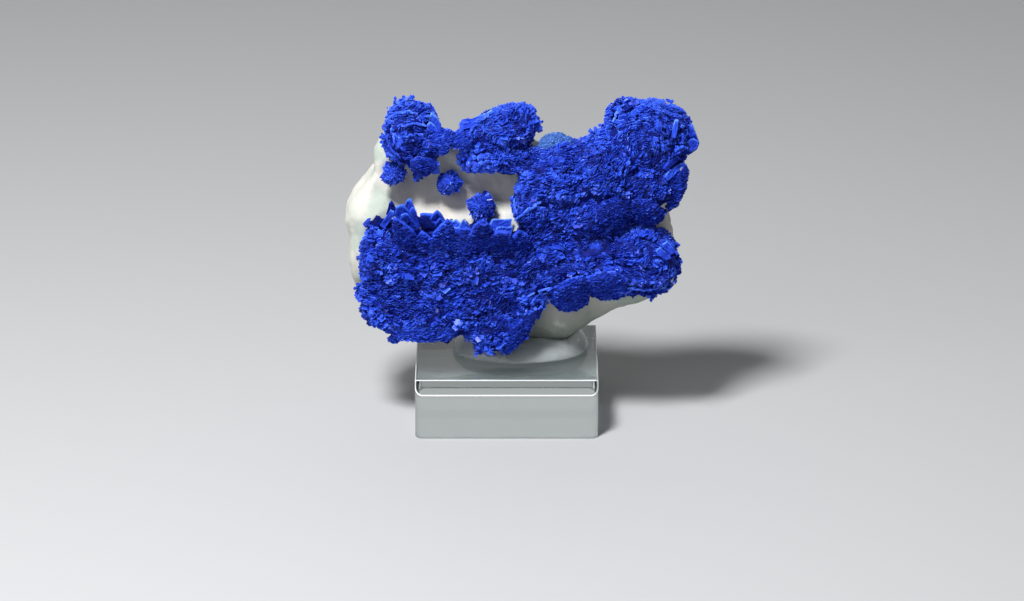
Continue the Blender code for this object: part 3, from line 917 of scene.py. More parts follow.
@dataclass(frozen=True)
class RimField:
    """Directions in which the blades' rims run, blended from flows and fans."""

    flows: tuple[Flow, ...]
    fans: tuple[Fan, ...]
    wander: float = 0.46
    fan_share: float = 0.5

    def angles(self, places: Array) -> Array:
        """Finds the rims' direction at each place.

        Args:
            places: points, one row each.

        Returns:
            Angles from the horizontal, seen from the front, in radians.
        """
        across = np.full(len(places), 0.02)
        along = np.full(len(places), 0.06)
        for flow in self.flows:
            gap = front_gap(places, flow.x, flow.z)
            weight = np.exp(-0.5 * (gap / (flow.reach * MM)) ** 2)
            across += weight * math.sin(2.0 * math.radians(flow.angle))
            along += weight * math.cos(2.0 * math.radians(flow.angle))
        for fan in self.fans:
            dx = places[:, 0] - fan.x * MM
            dz = places[:, 2] - fan.z * MM
            weight = self.fan_share * np.exp(-0.5 * (dx * dx + dz * dz) / (fan.reach * MM) ** 2)
            doubled = 2.0 * np.arctan2(dz, dx) + math.pi
            across += weight * np.sin(doubled)
            along += weight * np.cos(doubled)
        drift = np.array([noise.noise(Vector(place) * 260.0) for place in places])
        return 0.5 * np.arctan2(across, along) + self.wander * 2.0 * drift


def unit(rows: Array) -> Array:
    """Scales each row to length one."""
    return rows / np.maximum(np.linalg.norm(rows, axis=1, keepdims=True), 1e-12)


def rim_rows(angles: Array) -> Array:
    """Turns angles from the horizontal into directions."""
    return np.stack((np.cos(angles), np.zeros(len(angles)), np.sin(angles)), axis=1)


def standing_axes(normals: Array, rims: Array, lean: Array, sway: Array) -> Array:
    """Axes of crystals that stand on edge on a skin.

    Args:
        normals: the skin's normals.
        rims: directions that the rims run in.
        lean: how far each tips over onto its face, in radians.
        sway: how far each tips along its own rim, in radians.

    Returns:
        Three rows a crystal: across, to the tip and through.
    """
    level = unit(rims - np.sum(rims * normals, axis=1, keepdims=True) * normals)
    side = np.cross(normals, level)
    tip = unit(normals * np.cos(lean)[:, None] + side * np.sin(lean)[:, None] + level * np.tan(sway)[:, None])
    across = unit(level - np.sum(level * tip, axis=1, keepdims=True) * tip)
    return np.stack((across, tip, np.cross(across, tip)), axis=1)


def tilted_axes(lean: float, pitch: float, turn: float) -> Array:
    """Axes of one crystal from its tilts, as the construction gives them.

    Args:
        lean: lean to the right, in degrees.
        pitch: pitch towards the front, in degrees.
        turn: turn about the upright, in degrees.

    Returns:
        Three rows: across, to the tip and through.
    """
    tilt = (
        Matrix.Rotation(math.radians(turn), 3, "Z")
        @ Matrix.Rotation(math.radians(pitch), 3, "X")
        @ Matrix.Rotation(math.radians(lean), 3, "Y")
    )
    tip = np.array(tilt @ Vector((0.0, 0.0, 1.0)))
    through = np.array(tilt @ Vector((0.0, -1.0, 0.0)))
    return np.stack((np.cross(tip, through), tip, through))


@dataclass
class Skin:
    """Places and normals on the skin of a mesh."""

    places: Array
    normals: Array

    @classmethod
    def of(cls, obj: bpy.types.Object, per_face: int, rng: Chance) -> "Skin":
        """Picks places on the faces of an object.

        Args:
            obj: a mesh object of four-sided faces at the origin.
            per_face: how many places each face gets.
            rng: source of chance.

        Returns:
            The skin.
        """
        mesh = obj.data
        points = points_of(mesh)
        normals = np.empty(len(mesh.polygons) * 3)
        mesh.polygons.foreach_get("normal", normals)
        corners = np.array([(*face.vertices, face.vertices[0])[:4] for face in mesh.polygons])
        corners = np.repeat(corners, per_face, axis=0)
        shares = rng.uniform(0.0, 1.0, (len(corners), 2, 1))
        low = points[corners[:, 0]] * (1.0 - shares[:, 0]) + points[corners[:, 1]] * shares[:, 0]
        high = points[corners[:, 3]] * (1.0 - shares[:, 0]) + points[corners[:, 2]] * shares[:, 0]
        places = low * (1.0 - shares[:, 1]) + high * shares[:, 1]
        return cls(places, np.repeat(normals.reshape(-1, 3), per_face, axis=0))

    def where(self, keep: Array) -> "Skin":
        """Keeps the places that a mask or a list of numbers names."""
        return Skin(self.places[keep], self.normals[keep])

    def thinned(self, spacing: float, stretch: float, rims: Array, rng: Chance) -> Array:
        """Picks places that keep a spacing, which is wider along the rims than across them.

        Args:
            spacing: the least distance between two places across the rims.
            stretch: how many times wider it is along the rims.
            rims: the rims' direction at each place.
            rng: source of the order in which places are tried.

        Returns:
            The numbers of the places that are picked.
        """
        tree = KDTree(len(self.places))
        for index, place in enumerate(self.places):
            tree.insert(place, index)
        tree.balance()
        free = np.ones(len(self.places), bool)
        picked = []
        for index in rng.permutation(len(self.places)):
            if not free[index]:
                continue
            picked.append(index)
            near = np.array([found[1] for found in tree.find_range(self.places[index], spacing * stretch)])
            offset = self.places[near] - self.places[index]
            along = offset @ rims[index]
            gap = np.sum(offset * offset, axis=1) - along * along + (along / stretch) ** 2
            free[near[gap < spacing * spacing]] = False
        return np.array(picked, dtype=int)


def evaluated_copy(obj: bpy.types.Object, name: str) -> bpy.types.Object:
    """Replaces an object by one with its modifiers applied.

    Args:
        obj: the object, which is removed.
        name: the new object's name.

    Returns:
        The new object.
    """
    graph = bpy.context.evaluated_depsgraph_get()
    result = add_object(name, bpy.data.meshes.new_from_object(obj.evaluated_get(graph)))
    bpy.data.objects.remove(obj)
    return result


def drop_crumbs(mesh: bpy.types.Mesh, least: int) -> None:
    """Deletes the loose parts of a mesh that are too small to show as more than a speck.

    Args:
        mesh: the mesh.
        least: the fewest points that a part keeps its place with.
    """
    bm = bmesh.new()
    bm.from_mesh(mesh)
    waiting = set(bm.verts)
    crumbs = []
    while waiting:
        part = [waiting.pop()]
        for vert in part:
            for edge in vert.link_edges:
                other = edge.other_vert(vert)
                if other in waiting:
                    waiting.remove(other)
                    part.append(other)
        if len(part) < least:
            crumbs.extend(part)
    bmesh.ops.delete(bm, geom=crumbs, context="VERTS")
    bm.to_mesh(mesh)
    bm.free()


@dataclass(frozen=True)
class Reskin:
    """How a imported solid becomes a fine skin: its facets melt away, and waves of relief come on."""

    voxel: float
    smooth_steps: int
    sink: float
    waves: tuple[Span, ...]
    least_part: int = 2000

    def build(self, node: str, name: str) -> bpy.types.Object:
        """Makes the skin of a node.

        Args:
            node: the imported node.
            name: the new object's name.

        Returns:
            The skin.
        """
        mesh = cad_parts[node].data.copy()
        bm = bmesh.new()
        bm.from_mesh(mesh)
        bmesh.ops.remove_doubles(bm, verts=bm.verts, dist=0.001 * MM)
        bm.to_mesh(mesh)
        bm.free()
        obj = add_object(name + "_draft", mesh)
        remesh = obj.modifiers.new("melt", "REMESH")
        remesh.mode = "VOXEL"
        remesh.voxel_size = self.voxel
        if self.smooth_steps:
            smooth = obj.modifiers.new("soften", "SMOOTH")
            smooth.factor = 0.5
            smooth.iterations = self.smooth_steps
        if self.sink:
            shrink = obj.modifiers.new("sink", "DISPLACE")
            shrink.mid_level = 0.0
            shrink.strength = -self.sink
        for index, (length, height) in enumerate(self.waves):
            clouds = bpy.data.textures.new(f"{name}_waves_{index}", "CLOUDS")
            clouds.noise_scale = length
            clouds.noise_depth = 2
            relief = obj.modifiers.new("relief", "DISPLACE")
            relief.texture = clouds
            relief.texture_coords = "LOCAL"
            relief.mid_level = 0.5
            relief.strength = height
        skin = evaluated_copy(obj, name)
        drop_crumbs(skin.data, self.least_part)
        return skin


def surface_tree(obj: bpy.types.Object) -> BVHTree:
    """Makes a search tree of an object's faces."""
    points = [vert.co for vert in obj.data.vertices]
    return BVHTree.FromPolygons(points, [face.vertices for face in obj.data.polygons])


def clearance(tree: BVHTree, places: Array) -> Array:
    """Distance of each place from a surface, less than zero inside it.

    Args:
        tree: the surface.
        places: points, one row each.

    Returns:
        The distances.
    """
    result = np.empty(len(places))
    for index, place in enumerate(places):
        spot, normal, _, distance = tree.find_nearest(Vector(place))
        outside = (Vector(place) - spot).dot(normal) >= 0.0
        result[index] = distance if outside else -distance
    return result


def dress(obj: bpy.types.Object, slot: Slot, *materials: bpy.types.Material) -> None:
    """Gives a piece its materials and its body.

    Args:
        obj: the piece.
        slot: not used.
        materials: its materials.
    """
    if obj.data.materials:
        obj.data.materials.clear()
    for material in materials:
        obj.data.materials.append(material)
    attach(obj, BODY)


# Single large plates: x, y, z, height, width, lean to the right, pitch to the front and turn in degrees
EDGE_PLATES = (
    (-8.4, -4.6, 66.8, 5.0, 3.0, -70.0, 0.0, 10.0),
    (3.2, -4.6, 70.0, 5.2, 3.4, 10.0, -4.0, -25.0),
)
UPPER_LEFT_PLATES = (
    (-17.4, -5.4, 70.2, 4.6, 3.0, 30.0, 0.0, -20.0),
    (-21.0, -5.0, 71.4, 4.2, 3.2, 5.0, 0.0, 15.0),
    (-16.2, -6.6, 57.8, 4.4, 3.2, 130.0, 10.0, 10.0),
)

# Large blades by their outlines: y, slopes of y with x and z, thickness, tone, then corners in x and z; each
# tone follows how bright the blade shows, so it is partly painted highlight and painted shade
CRUST_LEAVES = (
    Leaf(-9.5, 0.0, -0.2, 0.6, 0.02, ((-26.2, 48.0), (-25.5, 50.7), (-25.0, 51.3), (-24.4, 50.5),
         (-24.2, 48.7), (-24.7, 47.3))),
    Leaf(-10.1, 0.11, -0.09, 0.5, 0.6, ((-27.5, 45.8), (-25.1, 49.4), (-24.4, 49.1), (-24.7, 47.8),
         (-26.6, 45.0))),
    Leaf(-10.4, 0.0, -0.25, 0.6, 0.42, ((-24.4, 48.4), (-24.0, 50.2), (-23.1, 50.8), (-22.2, 50.6),
         (-20.7, 48.6), (-19.3, 46.4), (-19.7, 45.2), (-21.4, 45.7), (-23.6, 46.9))),
    Leaf(-9.6, 0.0, 0.1, 0.7, 0.52, ((-22.2, 48.4), (-22.3, 50.2), (-21.7, 51.3), (-21.2, 51.8),
         (-20.6, 51.5), (-19.9, 49.5), (-19.1, 46.6), (-19.5, 45.5), (-21.4, 46.6))),
    Leaf(-10.2, 0.0, -0.3, 0.7, 0.35, ((-18.6, 45.5), (-18.8, 48.5), (-17.9, 48.7), (-16.2, 48.6),
         (-15.1, 47.6), (-14.9, 45.0), (-16.5, 42.4), (-18.6, 42.2))),
    Leaf(-10.6, 0.0, -0.35, 0.7, 0.38, ((-16.6, 47.7), (-15.7, 49.0), (-15.1, 49.6), (-14.2, 48.7),
         (-13.3, 46.9), (-13.6, 45.1), (-15.2, 42.2), (-16.4, 43.8))),
    Leaf(-10.4, 0.0, 0.1, 0.5, 0.95, ((-13.2, 46.3), (-12.5, 47.3), (-11.6, 47.0), (-11.0, 47.3),
         (-10.1, 46.5), (-10.1, 45.0), (-10.8, 43.4), (-11.6, 44.5), (-12.5, 45.0))),
    Leaf(-10.6, 0.0, 0.0, 0.5, 0.85, ((-10.3, 45.9), (-9.5, 47.4), (-8.8, 46.9), (-7.5, 44.7),
         (-8.2, 44.1), (-9.7, 44.8))),
    Leaf(-8.9, 0.19, 0.15, 0.6, 0.75, ((-4.0, 45.1), (-3.2, 46.7), (-2.3, 46.9), (-0.6, 46.7), (1.2, 46.7),
         (1.0, 45.4), (-0.1, 44.2), (-2.1, 43.6), (-3.6, 43.9))),
    Leaf(-10.1, 0.06, 0.41, 0.4, 1.0, ((-4.4, 44.3), (-3.6, 44.9), (-2.9, 45.1), (-2.6, 44.6), (-3.6, 44.0))),
    Leaf(-10.5, -0.01, 0.31, 0.4, 0.9, ((-1.4, 43.7), (-0.8, 44.3), (0.5, 44.4), (0.2, 43.7))),
    Leaf(-5.8, -0.28, 0.5, 0.5, 0.7, ((-10.0, 67.9), (-9.7, 68.5), (-7.5, 68.8), (-5.8, 69.6),
         (-3.8, 69.9), (-4.0, 68.9), (-6.6, 68.0), (-9.2, 67.2))),
    Leaf(-7.5, -0.23, 0.67, 0.4, 1.0, ((-6.8, 69.1), (-5.7, 69.8), (-4.2, 70.0), (-4.9, 69.2))),
    Leaf(-9.7, 0.23, 0.47, 0.5, 0.85, ((35.6, 66.3), (35.9, 68.0), (36.4, 69.7), (37.1, 69.6),
         (37.0, 68.0), (36.5, 66.0))),
    Leaf(-8.9, 0.09, 0.0, 0.5, 1.0, ((37.6, 67.9), (37.9, 68.5), (38.4, 68.1), (38.0, 67.5))),
    Leaf(-5.0, 0.0, 0.0, 0.6, 0.0, ((36.9, 66.0), (37.8, 66.7), (39.1, 66.7), (39.3, 65.1), (38.7, 64.0),
         (37.4, 64.2))),
    Leaf(-6.0, 0.0, 0.1, 1.6, 0.45, ((38.4, 67.0), (39.3, 67.4), (40.4, 67.2), (41.0, 65.6), (41.8, 63.4),
         (41.3, 62.0), (40.0, 61.2), (39.1, 62.1), (39.3, 63.7), (38.9, 65.2))),
    Leaf(-7.2, 0.0, 0.2, 0.9, 0.6, ((38.9, 62.9), (39.3, 64.2), (40.6, 64.7), (41.6, 64.0), (41.4, 62.7),
         (40.0, 61.8))),
    Leaf(-10.8, 0.76, 0.39, 0.8, 0.92, ((34.4, 57.7), (35.1, 58.7), (37.5, 59.7), (38.3, 59.2),
         (36.0, 57.4), (34.9, 56.9))),
    Leaf(-9.4, 0.0, 0.1, 0.8, 0.95, ((37.5, 59.7), (38.4, 60.1), (39.1, 59.3), (38.4, 58.5))),
    Leaf(-10.9, 0.56, 0.04, 0.8, 0.45, ((34.0, 59.4), (35.3, 61.0), (37.1, 61.8), (37.7, 61.1),
         (36.0, 60.0), (34.7, 58.9))),
    Leaf(-11.4, 0.08, 0.3, 0.7, 0.72, ((33.8, 42.0), (34.9, 42.7), (36.2, 41.3), (36.7, 40.3),
         (35.7, 39.7), (34.4, 40.8))),
    Leaf(-12.5, 0.16, 0.25, 0.7, 0.66, ((32.4, 40.9), (33.4, 41.6), (35.5, 39.9), (35.8, 39.1),
         (34.6, 38.8), (33.1, 39.8))),
    Leaf(-11.3, 0.26, -0.11, 0.7, 0.0, ((34.9, 38.5), (36.4, 39.5), (37.1, 37.8), (36.2, 36.2),
         (35.1, 37.0))),
)
# Shoulders of crust beyond the construction's facets, covered with fine blades, in the same order; their low
# tones, lowest under the crown and the right lobe, are partly painted shade
CRUST_SHOULDERS = (
    Leaf(-13.6, -0.22, -0.62, 0.7, 0.26, ((-24.6, 49.2), (-23.9, 48.8), (-22.2, 47.7), (-20.3, 45.8),
         (-19.2, 43.6), (-20.1, 41.4), (-22.7, 42.3), (-24.4, 46.0)), 0.3),
    Leaf(-13.8, 0.13, -0.46, 0.8, 0.24, ((-15.9, 45.2), (-14.4, 47.2), (-12.7, 48.9), (-11.6, 47.4),
         (-11.0, 44.7), (-11.6, 41.1), (-14.3, 40.5), (-16.4, 41.4)), 0.3),
    Leaf(-13.2, -0.15, -0.27, 0.8, 0.2, ((-11.4, 43.5), (-10.3, 46.1), (-8.8, 46.4), (-7.1, 45.8),
         (-6.0, 43.8), (-6.9, 40.7), (-9.5, 40.1), (-11.4, 41.0)), 0.3),
    Leaf(-13.9, 0.01, -0.61, 0.8, 0.2, ((-8.4, 44.3), (-7.0, 47.5), (-4.9, 49.3), (-3.4, 47.2),
         (-2.1, 44.3), (-2.5, 41.1), (-5.6, 40.2), (-7.7, 41.1)), 0.3),
    Leaf(-13.9, -0.06, -0.93, 0.8, 0.2, ((-3.4, 45.3), (-1.4, 46.4), (1.0, 45.8), (1.4, 42.8), (0.1, 40.3),
         (-2.5, 40.3)), 0.3),
    Leaf(-12.6, -0.12, -0.47, 0.8, 0.24, ((-19.9, 43.5), (-18.5, 45.5), (-16.6, 44.2), (-15.8, 42.0),
         (-17.1, 40.0), (-19.3, 40.8)), 0.3),
    Leaf(-12.4, 0.2, -0.59, 0.8, 0.22, ((1.2, 43.7), (2.7, 45.9), (4.6, 44.6), (5.7, 41.6), (3.8, 40.0),
         (1.6, 40.8)), 0.3),
    Leaf(-11.1, 0.39, -0.37, 0.8, 0.2, ((20.9, 51.3), (22.4, 52.4), (24.6, 52.3), (26.7, 52.3),
         (27.6, 50.3), (26.6, 47.3), (24.2, 45.6), (22.2, 46.7), (20.9, 49.2)), 0.8),
    Leaf(-9.8, -0.21, -0.85, 0.8, 0.2, ((26.4, 49.5), (28.0, 52.3), (30.6, 51.9), (32.3, 51.1),
         (34.2, 48.7), (33.6, 46.4), (30.4, 44.7), (27.3, 45.1)), 0.8),
    Leaf(-12.4, 0.05, -0.13, 0.7, 0.24, ((19.8, 49.8), (20.9, 51.3), (22.0, 49.3), (21.6, 46.9),
         (20.2, 47.4)), 0.4),
    Leaf(-10.0, 0.0, -0.2, 0.8, 0.2, ((36.0, 55.7), (38.6, 59.4), (39.2, 58.6), (38.7, 54.5),
         (37.0, 50.3), (35.3, 49.0), (35.0, 52.5)), 0.5),
    Leaf(-10.7, 0.0, -0.72, 0.8, 0.36, ((9.9, 27.5), (10.8, 32.2), (13.8, 34.4), (16.6, 35.3),
         (17.9, 32.8), (17.6, 27.5), (15.2, 25.3), (12.1, 25.3)), 0.8),
    Leaf(-12.6, -0.1, -0.82, 0.8, 0.36, ((17.0, 34.2), (20.3, 36.3), (23.5, 36.8), (25.9, 34.7),
         (25.4, 29.4), (22.2, 28.6), (18.6, 29.7)), 0.8),
    Leaf(-10.6, 0.34, -0.25, 0.8, 0.34, ((-1.0, 18.1), (0.5, 22.0), (2.9, 24.7), (5.8, 26.6), (6.4, 25.0),
         (4.9, 21.3), (2.3, 18.1), (0.1, 16.1)), 0.7),
    Leaf(-10.2, 0.0, 0.1, 0.8, 0.4, ((-25.2, 22.2), (-24.2, 19.9), (-20.6, 19.4), (-16.4, 19.2),
         (-13.0, 19.6), (-11.2, 21.2), (-12.4, 24.0), (-18.0, 24.6), (-23.6, 24.4)), 0.6),
)

# The same for the upper left cluster: its last two shoulders are its bridge to the middle peak
UPPER_LEFT_LEAVES = (
    Leaf(-7.9, 0.21, -0.04, 0.7, 0.85, ((-16.8, 70.0), (-16.1, 70.9), (-15.0, 69.9), (-14.1, 68.2),
         (-14.0, 66.2), (-15.3, 65.9), (-16.3, 67.7))),
)
UPPER_LEFT_SHOULDERS = (
    Leaf(-8.3, 0.15, -0.39, 0.7, 0.26, ((-20.5, 60.4), (-18.7, 61.0), (-16.6, 60.4), (-14.9, 59.3),
         (-16.2, 57.8), (-17.5, 56.3), (-18.8, 57.4), (-20.3, 58.5)), 0.5),
    Leaf(-8.5, 0.0, 0.1, 3.0, 0.42, (
        (-16.4, 65.6), (-14.9, 66.3), (-13.9, 65.6), (-12.9, 66.9), (-11.4, 66.2), (-11.6, 64.6),
        (-11.0, 63.6), (-12.5, 63.4), (-13.0, 62.0), (-14.2, 61.9), (-14.6, 63.3), (-16.0, 63.2),
    ), 0.8),
    Leaf(-8.5, 0.0, 0.1, 3.0, 0.46, (
        (-11.6, 64.2), (-11.0, 66.4), (-9.8, 66.9), (-9.0, 66.0), (-7.6, 66.2), (-7.4, 64.4), (-8.8, 64.0),
        (-9.6, 62.9), (-10.6, 63.4),
    ), 0.8),
)

# Directions of the rims on the main crust: x, z, angle from the horizontal in degrees, and reach
CRUST_FLOWS = (
    Flow(25.0, 57.5, 45.0, 5.0), Flow(33.8, 54.0, 40.0, 4.0), Flow(18.5, 58.0, 32.0, 4.0),
    Flow(9.6, 56.0, 14.0, 4.5), Flow(3.5, 58.5, 4.0, 3.5), Flow(12.0, 50.0, 46.0, 4.5),
    Flow(5.0, 49.0, 44.0, 3.5), Flow(18.5, 50.0, 38.0, 4.0), Flow(-3.5, 65.0, 42.0, 4.0),
    Flow(2.5, 70.0, 52.0, 4.0), Flow(-1.0, 60.0, 30.0, 3.0), Flow(12.0, 40.0, -8.0, 4.0),
    Flow(20.0, 42.5, 6.0, 4.0), Flow(27.0, 41.0, 22.0, 3.5), Flow(20.0, 37.0, -4.0, 3.0),
    Flow(-27.0, 42.0, 18.0, 4.5), Flow(-22.0, 38.0, 12.0, 4.5), Flow(-14.0, 36.5, -6.0, 4.0),
    Flow(-6.0, 36.5, 20.0, 4.0), Flow(0.5, 35.5, 34.0, 4.0), Flow(5.5, 38.0, 36.0, 3.5),
    Flow(3.5, 32.0, 30.0, 3.5), Flow(-26.0, 29.5, 6.0, 4.0), Flow(-17.0, 28.0, 4.0, 4.0),
    Flow(-9.5, 25.0, 10.0, 3.0), Flow(-4.0, 24.5, 22.0, 3.5), Flow(1.5, 25.5, 34.0, 3.5),
    Flow(-6.0, 30.0, 4.0, 3.0), Flow(30.0, 49.0, 20.0, 3.0),
)
CRUST_FANS = (
    Fan(29.4, 64.0, 4.5), Fan(32.0, 38.5, 3.5), Fan(22.5, 66.0, 2.5), Fan(-11.0, 37.0, 2.2),
    Fan(3.0, 35.0, 2.6), Fan(-24.0, 25.0, 3.0), Fan(-2.5, 20.0, 3.0), Fan(9.0, 63.5, 2.5),
)
UPPER_LEFT_FLOWS = (Flow(-20.0, 70.0, 12.0, 3.0), Flow(-14.0, 62.0, 15.0, 3.0))
UPPER_LEFT_FANS = (Fan(-20.0, 65.5, 4.0), Fan(-17.5, 60.5, 2.5))

# Thinner stretches, where a pit shows: x, z, reach and depth
PITS = (
    (28.1, 58.6, 0.9, 1.8), (-15.4, 36.6, 0.8, 1.0), (-13.4, 35.6, 0.9, 1.2), (-4.3, 34.4, 0.9, 0.9),
    (11.8, 38.4, 0.9, 1.0), (15.7, 35.6, 1.0, 0.8), (20.1, 42.8, 0.7, 0.8), (23.2, 42.6, 0.8, 0.8),
    (9.2, 49.2, 0.9, 1.1), (12.2, 47.4, 0.7, 0.9), (25.2, 55.2, 0.8, 0.9), (30.5, 36.6, 0.9, 1.0),
    (32.7, 35.4, 0.7, 0.9), (-8.1, 24.2, 0.7, 0.9), (-25.1, 25.4, 1.1, 0.9), (-26.8, 34.8, 1.0, 1.0),
    (-19.4, 30.6, 0.8, 0.7), (2.2, 60.2, 0.7, 0.8), (26.8, 37.4, 0.8, 1.0), (8.2, 35.2, 0.6, 0.7),
    (-29.2, 33.2, 1.0, 1.1), (5.6, 43.6, 0.9, 0.9), (16.2, 61.4, 0.6, 1.0), (31.6, 62.4, 0.8, 0.8),
)

# Stretches painted paler where the crust catches more light, a painted highlight, and one painted darker as
# shade: x, z, reach and how much paler
PAINTED_LIGHT_SPOTS = (
    (-19.5, 64.5, 5.5, -0.1),
    (13.5, 54.0, 5.5, 0.14), (0.5, 66.0, 4.5, 0.1), (20.0, 57.0, 4.0, 0.08),
    (31.8, 71.4, 2.6, 0.4), (22.2, 69.4, 1.6, 0.5), (21.8, 65.0, 2.2, 0.35), (-5.4, 70.6, 2.4, 0.35),
    (-0.5, 62.2, 1.8, 0.3), (-15.2, 67.8, 2.0, 0.45), (-23.4, 71.4, 2.2, 0.3), (9.8, 65.0, 1.8, 0.35),
    (-11.2, 44.6, 1.8, 0.4), (-8.6, 44.6, 1.4, 0.35), (-0.6, 45.6, 2.2, 0.3), (-3.6, 18.6, 2.2, 0.35),
    (-13.8, 19.0, 1.6, 0.3), (-24.8, 18.6, 1.8, 0.4), (6.2, 30.2, 2.2, 0.35), (35.0, 40.8, 1.8, 0.4),
    (2.0, 53.0, 1.8, 0.25), (37.0, 57.8, 1.8, 0.4), (-30.6, 44.2, 2.0, 0.2), (16.4, 65.2, 1.6, 0.3),
)


def inside(corners: tuple[Row, ...], places: Array) -> Array:
    """Finds the places inside an outline, seen from the front.

    Args:
        corners: the outline's x and z in millimetres.
        places: points in metres, one row each.

    Returns:
        True for those inside.
    """
    x = places[:, 0] / MM
    z = places[:, 2] / MM
    found = np.zeros(len(places), bool)
    for (x1, z1), (x2, z2) in zip(corners, corners[1:] + corners[:1]):
        if z1 != z2:
            found ^= ((z1 > z) != (z2 > z)) & (x < (x2 - x1) * (z - z1) / (z2 - z1) + x1)
    return found


@dataclass(frozen=True)
class Swell:
    """A raised stretch of fine blades: how much paler as painted highlight (darker as painted shade below
    zero), how much higher in mm, and its corners in x and z.
    """

    gain: float
    rise: float
    corners: tuple[Row, ...]


